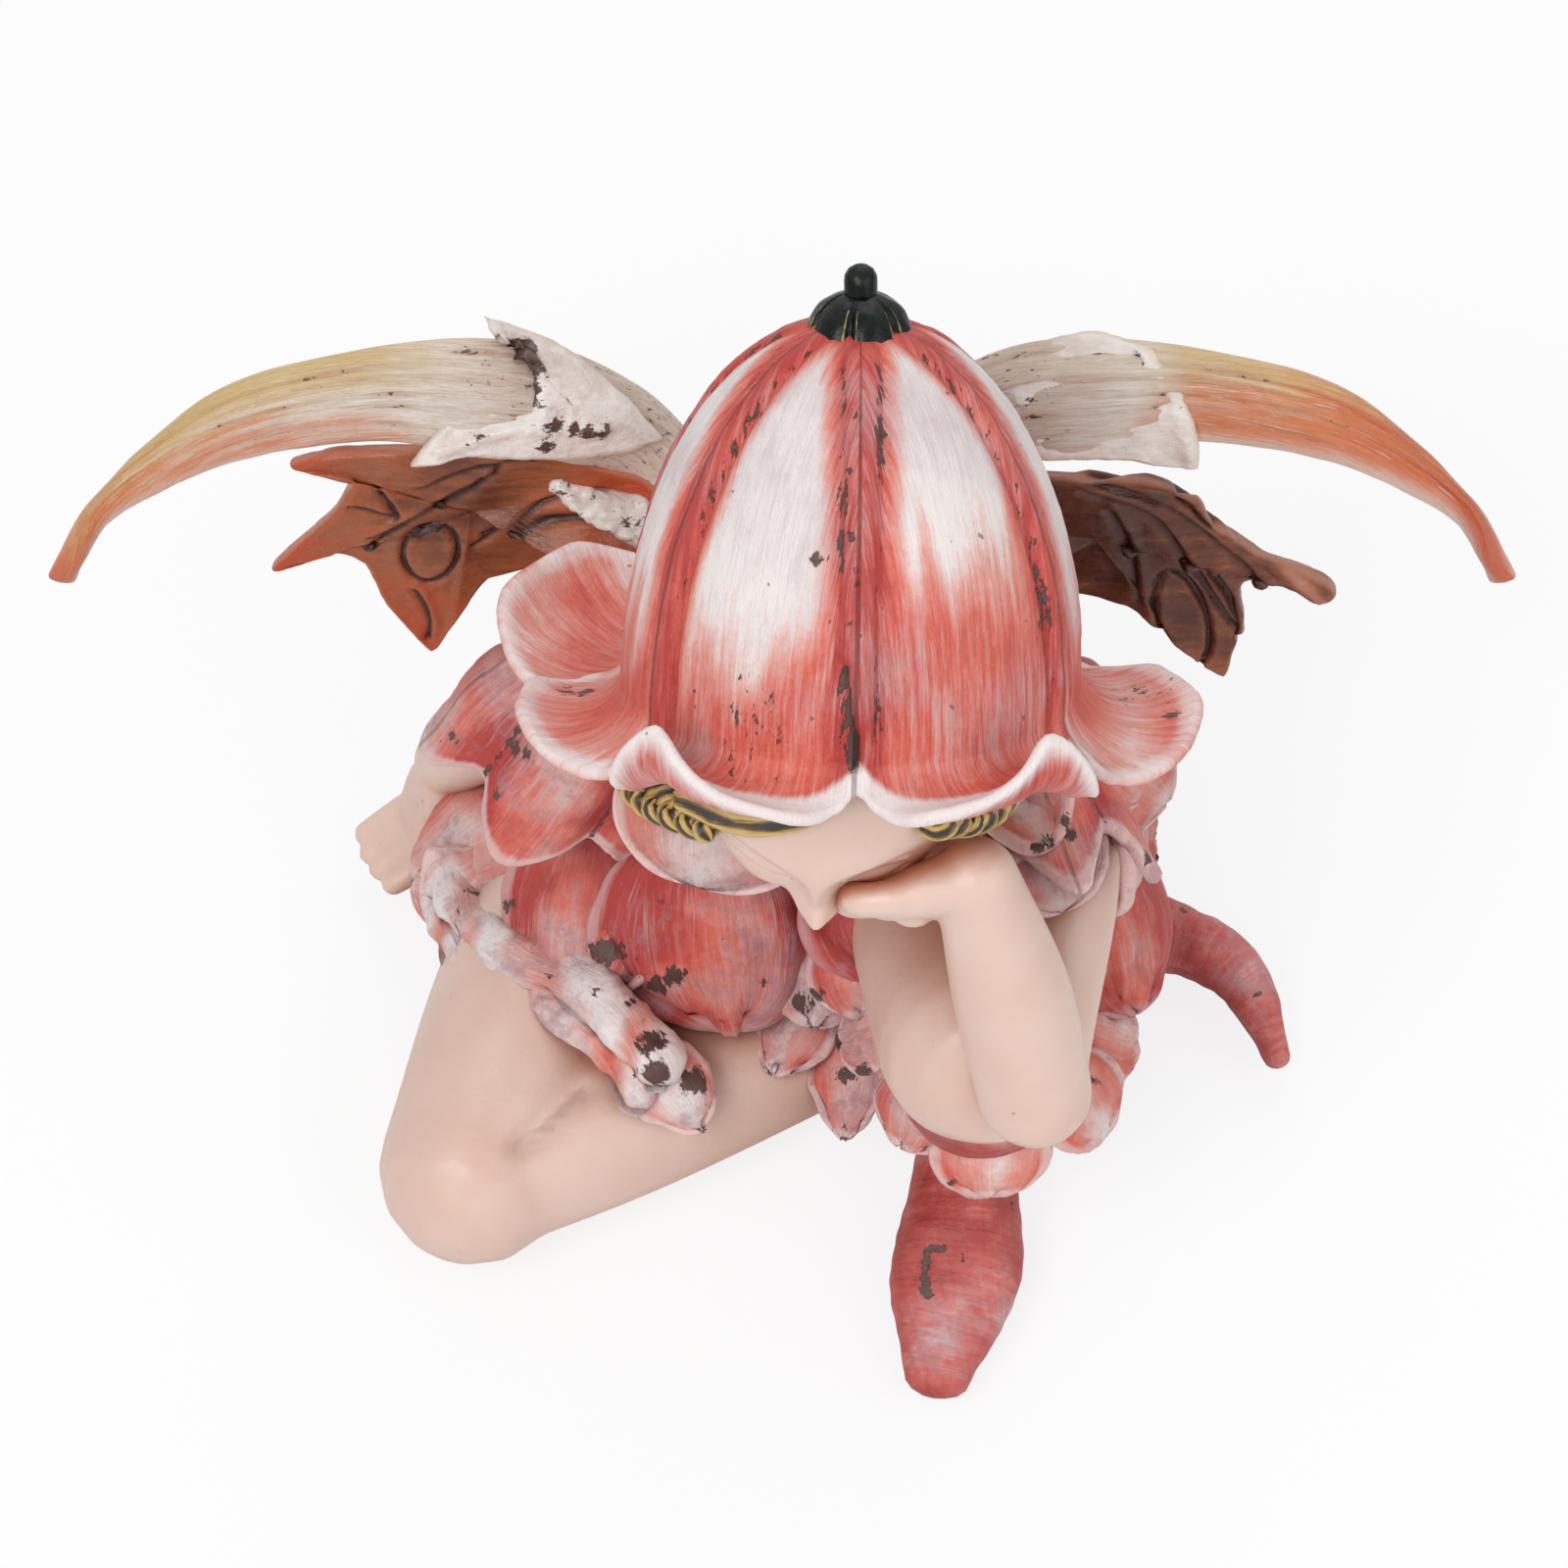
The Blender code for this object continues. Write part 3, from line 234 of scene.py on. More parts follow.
class Form:
    """A closed surface in millimetres, with the flow and mask of its paint."""

    def __init__(self, verts, faces, flow, mask):
        self.verts = np.asarray(verts, float)
        self.faces = faces
        self.flow = np.asarray(flow, float)
        self.mask = np.asarray(mask, float)

    def normals(self):
        """Outward directions at the points, weighted by face size."""
        out = np.zeros_like(self.verts)
        for faces in self.faces:
            a, b, c, d = (self.verts[faces[:, k]] for k in (0, 1, 2, -1))
            n = np.cross(c - a, d - b) if faces.shape[1] == 4 else np.cross(b - a, c - a)
            for k in range(faces.shape[1]):
                np.add.at(out, faces[:, k], n)
        return out / np.maximum(np.linalg.norm(out, axis=1), 1e-12)[:, None]

    def volume(self):
        """Signed volume, which is below zero when the faces point inward."""
        total = 0.0
        for faces in self.faces:
            for k in range(1, faces.shape[1] - 1):
                a, b, c = (self.verts[faces[:, j]] for j in (0, k, k + 1))
                total += np.einsum("ij,ij->", a, np.cross(b, c))
        return total / 6

    def outward(self):
        """Turns the faces so that they point outward."""
        if self.volume() < 0:
            self.faces = [faces[:, ::-1] for faces in self.faces]
        return self

    def clay(self, amount, size, seed=0):
        """Hand-modelled unevenness of the surface."""
        self.verts += self.normals() * (amount * wobble(self.verts, size, seed))[:, None]
        return self

    def near(self, path, width):
        """1 on a path and falling to 0 a few widths away; a path of x and z ignores y."""
        path = np.atleast_2d(np.asarray(path, float))
        verts = self.verts if path.shape[1] == 3 else self.verts[:, (0, 2)]
        best = np.full(len(verts), 1e9)
        starts = path[:-1] if len(path) > 1 else path
        ends = path[1:] if len(path) > 1 else path
        for a, b in zip(starts, ends):
            span = b - a
            t = np.clip((verts - a) @ span / max(span @ span, 1e-9), 0, 1)
            best = np.minimum(best, np.linalg.norm(verts - a - t[:, None] * span, axis=1))
        return bell(best, width)

    def carve(self, path, width, depth, dark=0.0):
        """A line pressed into the surface, or raised from it when depth is below zero."""
        share = self.near(path, width)
        self.verts -= self.normals() * (depth * share)[:, None]
        self.mask[:, 2] = np.maximum(self.mask[:, 2], dark * share)
        return self

    def chip(self, place, radius, strength=0.44):
        """A spot where the paint has come off down to the brown coat."""
        share = self.near([place], radius)
        self.mask[:, 2] = np.maximum(self.mask[:, 2], strength * share ** 0.5)
        return self


def seen_at(form, *pixels):
    """The points of a form that the camera sees at pixels of the square picture."""
    toward = unit(vec(*CAMERA_TARGET) - CAMERA_PLACE)
    right = unit(np.cross(toward, (0, 0, 1)))
    up = np.cross(right, toward)
    scale = SENSOR / CAMERA_LENS / PICTURE
    half = PICTURE / 2
    places = []
    for u, v in pixels:
        ray = unit(toward + right * (u - half) * scale + up * (half - v) * scale)
        offset = form.verts - CAMERA_PLACE
        along = offset @ ray
        apart = np.linalg.norm(offset - along[:, None] * ray, axis=1)
        near = apart < apart.min() + SIGHT_WIDTH
        places.append(form.verts[near][np.argmin(along[near])])
    return np.array(places)


def chipped(form, radius, *pixels, strength=0.44):
    """Spots without paint at pixels of the picture."""
    for place in seen_at(form, *pixels):
        form.chip(place, radius, strength)
    return form


def merged(forms):
    """Several forms as one."""
    faces = []
    count = 0
    for form in forms:
        faces += [f + count for f in form.faces]
        count += len(form.verts)
    return Form(np.vstack([f.verts for f in forms]), faces,
                np.vstack([f.flow for f in forms]), np.vstack([f.mask for f in forms]))


def lofted(rings, flow, mask, start=None, end=None):
    """A closed form over a row of rings, each end gathered into a point."""
    rings = np.asarray(rings, float)
    count, around = rings.shape[:2]
    start = rings[0].mean(axis=0) if start is None else start
    end = rings[-1].mean(axis=0) if end is None else end
    flow = np.broadcast_to(flow, rings.shape)
    mask = np.broadcast_to(mask, rings.shape)
    j = np.arange(around)
    k = (j + 1) % around
    rows = (np.arange(count - 1) * around)[:, None]
    quads = np.stack([rows + j, rows + k, rows + around + k, rows + around + j], axis=-1)
    total = count * around
    caps = np.vstack([np.stack([np.full(around, total), k, j], axis=1),
                      np.stack([np.full(around, total + 1), total - around + j,
                                total - around + k], axis=1)])

    def closed(values, first, last):
        return np.vstack([values.reshape(-1, 3), first, last])

    return Form(closed(rings, start, end), [quads.reshape(-1, 4), caps],
                closed(flow, flow[0].mean(axis=0), flow[-1].mean(axis=0)),
                closed(mask, mask[0].mean(axis=0), mask[-1].mean(axis=0))).outward()


def limb(stations, around=28, steps=48, up=(0, 0, 1), seed=0, mask=(0, 0, 0)):
    """A tube with round ends. A station is x, y, z, half width, half thickness."""
    path = spline(stations, steps)
    centre = path[:, :3]
    radii = np.maximum(path[:, 3:5], 0.2)
    heading, side, rise = frame_along(centre, vec(*up))
    run = run_of(centre)
    turns = circle(around)
    rings = []
    flow = []
    cap = radii.min(axis=1)
    slides = [(0, -math.cos(a), math.sin(a)) for a in np.radians((20, 45, 70))]
    slides += [(i, 0, 1) for i in range(steps)]
    slides += [(steps - 1, math.cos(a), math.sin(a)) for a in np.radians((70, 45, 20))]
    for i, slide, scale in slides:
        middle = centre[i] + heading[i] * slide * cap[i]
        across = np.outer(np.cos(turns), side[i]) * radii[i, 0]
        thick = np.outer(np.sin(turns), rise[i]) * radii[i, 1]
        rings.append(middle + (across + thick) * scale)
        flow.append(triple(turns * radii[i].mean(), run[i], seed))
    return lofted(rings, flow, mask, centre[0] - heading[0] * cap[0],
                  centre[-1] + heading[-1] * cap[-1])


def ball(centre, half, around=36, rows=20):
    """An ellipsoid with its half sizes along X, Y and Z."""
    angles = circle(around)
    rings = []
    for i in range(1, rows):
        level = math.pi * i / rows
        rings.append(triple(np.cos(angles) * half[0] * math.sin(level),
                            np.sin(angles) * half[1] * math.sin(level),
                            -half[2] * math.cos(level)) + centre)
    pole = vec(0, 0, half[2])
    return lofted(rings, (0, 0, 0), (0, 0, 0), centre - pole, centre + pole)


def blade(surface, thick, around, rows, width, length, seed):
    """A thick sheet over surface(u, v), u from -1 to 1 across and v from 0 to 1 along."""
    theta = circle(around, 0.5)
    v = 1 - (1 - np.linspace(0, 1, rows)) ** 1.25
    u, v = np.meshgrid(np.cos(theta), v)
    side = np.sign(np.sin(theta)) * np.abs(np.sin(theta)) ** 0.55
    centre = surface(u, v)
    e = 1e-3
    across = surface(u + e, v) - surface(u - e, v)
    along = surface(u, v + e) - surface(u, v - e)
    normal = np.cross(across, along)
    normal /= np.maximum(np.linalg.norm(normal, axis=-1), 1e-12)[..., None]
    thin = np.clip((v - 1 + PETAL_TAPER) / PETAL_TAPER, 0, 1)
    body = 0.5 * thick * np.sqrt(np.clip(1 - thin ** 2, 0.02, 1))
    points = centre + normal * (side * body)[..., None]
    edge = np.minimum((1 - np.abs(u)) * 0.5 * width, (1 - v) * length * 0.9)
    light = 0.25 + 0.45 * bell(u, 0.55) * ease(v, 0.1, 0.5)
    return lofted(points, triple(u * 0.5 * width, v * length, seed),
                  triple(np.exp(-(edge / 1.6)), light, 0))


def petal(base, out, face, length, width, curl, cup, thick=CLOTH, point=0.0, ruffle=0.0,
          seed=0, around=56, rows=44):
    """A petal that grows along out and curls toward face (degrees), wavy near its rim."""
    out = unit(out)
    face = unit(np.asarray(face, float) - out * np.dot(face, out))
    side = np.cross(out, face)
    fine = np.linspace(0, 1.05, 106)
    angle = math.radians(curl) * fine ** 1.3
    step = length * (fine[1] - fine[0])
    run = np.cumsum(np.cos(angle)) * step
    rise = np.cumsum(np.sin(angle)) * step
    run -= run[0]
    rise -= rise[0]

    def half_width(v):
        q = np.clip((v - PETAL_WIDEST) / (1 - PETAL_WIDEST), 0, 1)
        swell = np.sin(0.5 * math.pi * np.clip(v / PETAL_WIDEST, 0, 1))
        low = PETAL_NECK + (1 - PETAL_NECK) * swell
        high = np.clip(1 - q ** (2.2 - point), 0, 1) ** (0.5 + 0.5 * point)
        return 0.5 * width * np.maximum(np.where(v < PETAL_WIDEST, low, high), 0.06)

    def surface(u, v):
        w = half_width(v)
        x = u * w
        bend = math.radians(curl) * np.clip(v, 0, None) ** 1.3
        lift = cup * x ** 2 / (0.5 * width)
        edge = np.abs(u) ** 3 * ease(v, 0.15, 0.6) + ease(v, 0.8, 1.0)
        wave = np.sin(PETAL_WAVES * math.pi * u + 5 * v + seed)
        lift = lift + ruffle * np.clip(edge, 0, 1) * wave
        lip = np.abs(u) ** 8 * ease(v, 0.2, 0.5) + ease(v, 0.9, 1.02)
        lift = lift + PETAL_LIP * lip * 0.8
        along = np.interp(v, fine, run)
        up = np.interp(v, fine, rise)
        normal = face * np.cos(bend)[..., None] - out * np.sin(bend)[..., None]
        return (vec(*base) + out * along[..., None] + face * up[..., None]
                + side * x[..., None] + normal * lift[..., None])

    return blade(surface, thick, around, rows, width, length, seed)


# The hat: each petal's rim, from its front seam to its rear one: share of the petal's
# width, length of the flare past the ring, and how far the rim rolls (degrees)
LEFT_FRONT_LOBE = ((0.0, 1.0, 10), (0.06, 3.8, 45), (0.25, 6.2, 100), (0.45, 6.6, 118),
                   (0.58, 7.6, 150), (0.7, 8.8, 190), (0.8, 8.6, 150), (0.9, 7.8, 90),
                   (1.0, 4.0, 60))
RIGHT_FRONT_LOBE = ((0.0, 1.0, 10), (0.06, 3.8, 45), (0.2, 6.2, 100), (0.38, 6.6, 118),
                    (0.5, 7.6, 150), (0.6, 8.8, 190), (0.7, 8.6, 150), (0.8, 7.8, 100),
                    (0.9, 6.8, 75), (1.0, 3.0, 55))
SIDE_LOBE = ((0.0, 3.0, 45), (0.1, 8.5, 70), (0.3, 11.5, 100), (0.55, 13.0, 122),
             (0.8, 11.0, 120), (1.0, 3.0, 70))
LEFT_LOBE = ((0.0, 3.0, 45), (0.1, 7.0, 70), (0.3, 9.5, 100), (0.55, 10.5, 122),
             (0.8, 9.5, 125), (1.0, 3.0, 70))
BACK_LOBE = ((0.0, 4.0, 60), (0.1, 15.0, 105), (0.25, 22.0, 140), (0.5, 23.0, 150),
             (0.75, 16.0, 130), (0.9, 9.0, 95), (1.0, 3.0, 50))
REAR_LOBE = ((0.0, 3.0, 45), (0.15, 9.0, 80), (0.4, 12.0, 100), (0.6, 12.0, 100),
             (0.85, 9.0, 80), (1.0, 3.0, 50))
HAT_LOBES = (RIGHT_FRONT_LOBE, SIDE_LOBE, REAR_LOBE, BACK_LOBE, LEFT_LOBE,
             LEFT_FRONT_LOBE)
# How far down each hat petal its pale centre reaches, from the top
HAT_PALE_END = (0.58, 0.62, 0.6, 0.6, 0.66, 0.74)


def hat_axes():
    """The hat's own directions: up its axis, to its front and to its side."""
    axis = unit(vec(0.018, math.sin(HAT_TILT), math.cos(HAT_TILT)))
    front = unit(vec(0, -1, 0) + axis * axis[1])
    return axis, front, np.cross(front, axis) * -1


def hat():
    """The bell flower: ribbed seams, bulging petals, rims that roll outward."""
    axis, front, side = hat_axes()
    numbers = np.repeat(np.arange(len(HAT_LOBES)), HAT_COLUMNS)
    share = np.tile(np.arange(HAT_COLUMNS) / HAT_COLUMNS, len(HAT_LOBES))
    seams = np.radians(HAT_SEAMS)
    wide = seams[numbers + 1] - seams[numbers]
    turn = seams[numbers] + share * wide
    length = np.empty(len(share))
    roll = np.empty(len(share))
    for n, lobe in enumerate(HAT_LOBES):
        table = np.array(lobe)
        own = numbers == n
        place = share[own] if n < len(HAT_LOBES) / 2 else 1 - share[own]
        length[own] = np.interp(place, table[:, 0], table[:, 1])
        roll[own] = np.radians(np.interp(place, table[:, 0], table[:, 2]))
    kernel = bell(np.linspace(-1.6, 1.6, 7))
    kernel /= kernel.sum()
    for values in (length, roll):
        values[:] = np.convolve(np.concatenate([values[-3:], values, values[:3]]), kernel, "valid")

    levels = np.sin(np.linspace(math.radians(86), 0, HAT_ROWS))
    r = []
    h = []
    lean = []
    for level in levels:
        radius = HAT_RADIUS * math.sqrt(1 - level ** 2)
        off = np.minimum(share, 1 - share) * wide * max(radius, 1) / (0.5 * HAT_RIB_WIDTH)
        rib = HAT_RIB * np.exp(-off ** 4 * 0.5) - HAT_GROOVE * np.exp(-7 * (off - 1.55) ** 2)
        wall = rib * min(radius / 7, 1) - PETAL_BULGE * (1 - np.sin(math.pi * share))
        r.append(radius + wall)
        h.append(np.full(len(share), level * HAT_HEIGHT))
        lean.append(np.zeros(len(share)))
    for i in range(1, HAT_FLARE_ROWS + 1):
        angle = roll * ((i - 0.5) / HAT_FLARE_ROWS) ** HAT_ROLL_START
        r.append(r[-1] + np.sin(angle) * length / HAT_FLARE_ROWS)
        h.append(h[-1] - np.cos(angle) * length / HAT_FLARE_ROWS)
        lean.append(roll * (i / HAT_FLARE_ROWS) ** HAT_ROLL_START)
    outer = len(r)
    rim_r, rim_h = r[-1], h[-1]
    out_r, out_h = np.cos(lean[-1]), np.sin(lean[-1])
    reach = 0.5 * HAT_WALL * HAT_THIN_RIM
    for bow in np.radians((25, 60, 90, 120, 155)):
        back, past = reach * (1 - math.cos(bow)), reach * math.sin(bow)
        r.append(rim_r - out_r * back + out_h * past)
        h.append(rim_h - out_h * back - out_r * past)
    for i in range(HAT_FLARE_ROWS, -1, -1):
        full = ease(HAT_FLARE_ROWS - i, 0, 10)
        wall = HAT_WALL * (HAT_THIN_RIM + (1 - HAT_THIN_RIM) * full)
        k = HAT_ROWS - 1 + i
        r.append(r[k] - wall * np.cos(lean[k]))
        h.append(h[k] - wall * np.sin(lean[k]))
    for radius, height in ((0.86, 3.0), (0.78, HAT_HOLLOW), (0.4, HAT_HOLLOW + 1)):
        r.append(np.full(len(share), HAT_RADIUS * radius))
        h.append(np.full(len(share), height))
    r, h = np.array(r), np.array(h)
    away = np.outer(np.cos(turn), front) + np.outer(np.sin(turn), side)
    points = vec(*HAT_CENTRE) + h[..., None] * axis + r[..., None] * away

    run = np.concatenate([np.zeros((1, len(share))),
                          np.cumsum(np.hypot(np.diff(r, axis=0), np.diff(h, axis=0)), axis=0)])
    across = (share - 0.5) * wide * np.clip(r, 2, HAT_RADIUS)
    seed = numbers * 3
    rim_run = run[outer - 1]
    rim = bell(run - rim_run, 2.8)
    rim[outer:] = np.maximum(rim[outer:], np.exp(-((run[outer:] - rim_run) / 5.0)))
    mottled = 0.30 * ease(wobble(points, 9, 12), 0.1, 0.7)
    down = run / rim_run
    off = np.minimum(share, 1 - share) * wide * np.maximum(r, 1)
    reach = np.array(HAT_PALE_END)[numbers]
    reach = reach + 0.10 * wobble(triple(across, 0.12 * run, seed), 1.6, 9)
    pale = 0.92 * ease(off, 1.2, 4.8) * (1 - ease(down, reach - 0.22, reach + 0.16))
    pale = np.maximum(0.2 * ease(off, 1.0, 4.0), pale)
    side_petals = (numbers > 0) & (numbers < len(HAT_LOBES) - 1)
    lobe_tip = ease(down, 0.72, 1.0) * (0.52 + 0.35 * wobble(points, 5, 7))
    pale = np.where(side_petals, np.maximum(pale, lobe_tip), pale)
    rim = np.where(side_petals, 0.62 * rim, rim)
    pale[outer:] = np.where(side_petals, 0.35, 0.12)[None, :]
    cracks = bell(off - 0.62 * HAT_RIB_WIDTH, 0.8) * ease(down, 0.03, 0.12)
    cracks *= 0.75 + 0.45 * wobble(points, 7, 13)
    dark = 0.42 * cracks * (1 - ease(down, 0.85, 0.98))
    dark = np.maximum(dark, mottled)
    dark[outer:] = 0
    top, bottom = (vec(*HAT_CENTRE) + axis * high for high in (HAT_HEIGHT, HAT_HOLLOW + 1))
    form = lofted(points, triple(across, run, seed), triple(rim, pale, dark), top, bottom)
    slit = seen_at(form, (852, 690), (856, 730), (862, 760), (872, 792))
    form.carve(slit, 0.5, 0.8, dark=0.62)
    form.carve(slit[2:], 0.8, 0.6, dark=0.62)
    chipped(form, 0.7, (824, 562), (833, 572), (824, 572))
    chipped(form, 1.3, (1195, 718), (590, 700), (575, 698))
    chipped(form, 0.6, (1062, 560), (1066, 600), (1070, 640), (1075, 690), (1068, 655), (866, 420),
            (869, 470), (864, 540), (868, 600), (862, 640), (745, 690), (652, 760), (700, 712))
    return form.clay(0.12, 3.0, 1).clay(0.05, 0.9, 2)


def calyx():
    """The dark flower base on top of the hat: six lobes with raised edges and a round nub."""
    axis, front, side = hat_axes()
    base = vec(*HAT_CENTRE) + axis * (HAT_HEIGHT - 2.6)
    lobes = 6
    turns = circle(120)
    profile = spline(((0.72, -0.30), (1.0, -0.16), (1.06, 0.10), (0.98, 0.4), (0.78, 0.72),
                      (0.42, 0.93), (0.2, 0.97)), 34)
    rings = []
    flow = []
    mask = []
    for share, level in profile:
        phase = np.abs(np.sin(0.5 * lobes * (turns + 0.25)))
        lobe = 1 + 0.10 * (phase - 0.5) - 0.10 * bell(phase, 0.16)
        ridge = bell(phase - 0.38, 0.07)
        radius = share * (lobe + 0.035 * ridge) * CALYX_RADIUS
        drop = -0.9 * phase * ease(-level, -0.1, 0.3)
        away = np.outer(np.cos(turns), front) + np.outer(np.sin(turns), side)
        rings.append(base + axis * level * CALYX_HEIGHT + away * radius[:, None]
                     + np.outer(drop, axis))
        flow.append(triple(turns * 4, level * 5, 0))
        mask.append(triple(ridge * ease(level, 0.0, 0.2) * (1 - ease(level, 0.75, 0.9)), 0, 0))
    dome = lofted(rings, flow, mask)
    foot = base + axis * CALYX_HEIGHT * 0.8
    tip = base + axis * (CALYX_HEIGHT + 0.9)
    nub = limb([(*foot, 1.5, 1.5), (*tip, 1.55, 1.5)], 28, 12, up=(1, 0, 0))
    return merged([dome, nub]).clay(0.08, 1.2, 5)


def head_frame():
    """Rotation that bows and turns the head."""
    bow = np.array([[1, 0, 0],
                    [0, math.cos(HEAD_BOW), -math.sin(HEAD_BOW)],
                    [0, math.sin(HEAD_BOW), math.cos(HEAD_BOW)]])
    turn = np.array([[math.cos(HEAD_TURN), -math.sin(HEAD_TURN), 0],
                     [math.sin(HEAD_TURN), math.cos(HEAD_TURN), 0], [0, 0, 1]])
    return turn @ bow


def frame_point(local):
    """A point of the head's own frame in the figure's frame."""
    return head_frame() @ vec(*local) + HEAD_CENTRE


def bump(side, z, at_side, at_z, wide, tall):
    """A soft swelling on the face."""
    return np.exp(-((side - at_side) / wide) ** 2 - ((z - at_z) / tall) ** 2)


# Swellings of the face: height, side, level, half width, half height
FACE_BUMPS = (
    (1.0, 0, 3.5, 7, 2.4),        # brow
    (-1.6, 5.2, 0.2, 3.2, 2.2),   # eye sockets
    (1.1, 5.2, -0.5, 2.5, 1.35),  # closed lids
    (1.9, 0, -0.6, 1.5, 3.4),     # bridge of the nose
    (3.3, 0, -4.5, 1.75, 1.75),   # its tip
    (0.9, 1.75, -5.1, 0.9, 0.9),  # its wings
    (-0.5, 1.1, -6.0, 0.6, 0.4),  # nostrils
    (1.0, 6.6, -5.2, 3.6, 3.4),   # cheeks
    (-0.6, 0, -7.1, 0.8, 0.9),    # groove over the lip
    (0.3, 1.1, -7.0, 0.5, 0.9),   # its edges
    (1.3, 0, -10.0, 2.1, 0.85),   # lower lip
    (-0.4, 0, -11.3, 2.0, 0.6),   # hollow under it
    (1.2, 0, -13.0, 3.0, 1.9),    # chin
)
EYE_SIDE = 5.2
EYE_HALF = 2.6


def face_relief(side, z):
    """How far the calm, plain face stands in front of a plain egg."""
    out = sum(height * bump(side, z, *rest) for height, *rest in FACE_BUMPS)
    eye = side - EYE_SIDE
    lid = -1.1 - 0.5 * (1 - np.clip(eye / EYE_HALF, -1, 1) ** 2)
    out -= 0.42 * bell(z - lid, 0.28) * (np.abs(eye) < EYE_HALF)
    out += 0.25 * bell(z - 0.9 + 0.06 * eye ** 2, 0.4) * (np.abs(eye) < 3)
    upper_lip = bump(side, z, 0, -8.5, 2.8, 0.8) * (1 - 0.2 * bump(side, z, 0, -8.0, 0.5, 0.5))
    mouth = bell(z + 9.15 - 0.10 * side, 0.28) * ease(3.2 - side, 0, 0.8)
    return out + 1.25 * upper_lip - 0.75 * mouth


def head():
    """The head as an egg with a calm, plain face on its front, and the neck under it."""
    turn = head_frame()
    half = vec(*HEAD_SIZE) / 2
    # close rows and columns on the face, wide ones elsewhere
    azimuth = np.radians(np.concatenate([np.linspace(-62, 62, 124), np.linspace(66, 294, 34)]))
    levels = np.radians(np.concatenate([np.linspace(-84, -70, 8), np.linspace(-68, 30, 124),
                                        np.linspace(34, 84, 14)]))
    az, lv = np.meshgrid(azimuth, levels)
    z = half[2] * np.sin(lv)
    narrow = np.where(z > 0, 1.0, 1 - 0.30 * (z / half[2]) ** 2)
    x = half[0] * np.cos(lv) * np.sin(az) * narrow
    y = -half[1] * np.cos(lv) * np.cos(az)
    front = np.clip(2.5 * np.cos(az) * np.cos(lv), 0, 1)
    side = np.abs(x)
    points = triple(x, y - face_relief(side, z) * front, z) @ turn.T + HEAD_CENTRE
    front = front * (np.cos(az) > 0)
    lips = np.maximum(bump(side, z, 0, -8.6, 2.5, 0.7), bump(side, z, 0, -10.0, 2.0, 0.8))
    blush = bump(side, z, 7.0, -5.0, 3.2, 2.6)
    eye = side - EYE_SIDE
    lashes = bell(z + 1.5 - 0.5 * (eye / EYE_HALF) ** 2, 0.2) * (np.abs(eye) < 2.7)
    brow = 0.45 * bell(z - 3.4 + 0.05 * (side - 4.6) ** 2, 0.34)
    brow = brow * ease(3.2 - np.abs(side - 5.4), 0, 0.8)
    mask = triple(lips * front, blush * front, np.maximum(lashes, brow) * front)
    egg = lofted(points, (0, 0, 0), mask, frame_point((0, 0, -half[2])),
                 frame_point((0, 0, half[2])))
    throat = frame_point((0, 3.0, -9.0))
    neck = limb([(*NECK_BASE, NECK_RADIUS + 0.6, NECK_RADIUS + 0.6),
                 (*(0.5 * (throat + NECK_BASE)), NECK_RADIUS - 0.3, NECK_RADIUS - 0.3),
                 (*throat, NECK_RADIUS, NECK_RADIUS)], 40, 24, up=(1, 0, 0))
    return merged([egg, neck]).clay(0.04, 2.5, 3)


# Locks combed over the brow (with half sizes) and the middle lines of the braids
BROW_LOCKS = (
    ((6.0, -46.2, 103.0, 1.0, 1.2), (2.6, -47.6, 97.8, 1.7, 1.6),
     (-3.2, -46.2, 93.2, 2.1, 1.7), (-8.6, -42.6, 90.0, 1.6, 1.4)),
    ((4.0, -45.5, 104.0, 1.2, 1.5), (-2.4, -45.2, 98.4, 2.4, 1.7),
     (-7.4, -41.6, 94.4, 2.4, 1.8), (-10.0, -36.0, 91.0, 1.8, 1.8)),
    ((6.4, -46.2, 103.0, 1.0, 1.2), (10.6, -46.4, 98.6, 1.9, 1.6),
     (15.0, -42.6, 94.6, 2.0, 1.8), (17.6, -37.6, 92.0, 1.6, 1.6)),
)
BRAIDS = (
    ((-14.6, -36.0, 86.0), (-12.0, -40.2, 86.6), (-6.6, -44.0, 88.4)),
    ((20.8, -40.6, 91.4), (17.8, -43.6, 90.4), (13.4, -46.2, 93.2)),
)


def lock(stations, strands, seed, around=30, steps=60):
    """A combed lock with grooves between its strands."""
    form = limb(stations, around, steps, up=(0, -1, 0.3), seed=seed)
    turns = np.concatenate([np.tile(circle(around), steps + 6), [0, 0]])
    comb = np.sin(strands * turns + 0.25 * form.flow[:, 1] + seed)
    form.verts += form.normals() * (0.18 * comb)[:, None]
    form.mask[:, 0] = np.clip(0.5 + 0.5 * comb, 0, 1)
    return form


def braid(path, crossings, seed):
    """Three locks wound round each other in a flat plait."""
    steps = 80
    line = spline(path, steps)
    _, side, rise = frame_along(line, vec(0, -0.6, 0.8))
    parts = []
    for k in range(3):
        phase = math.pi * crossings * np.linspace(0, 1, steps) + 2 * math.pi * k / 3
        centre = (line + side * (np.sin(phase) * BRAID_RADIUS * 0.62)[:, None]
                  + rise * (np.sin(2 * phase) * BRAID_RADIUS * 0.36)[:, None])
        size = BRAID_RADIUS * 0.56 * np.ones(steps)
        parts.append(lock(np.column_stack([centre, size, size * 0.9]), 5, seed + k, 20, steps))
    return merged(parts)


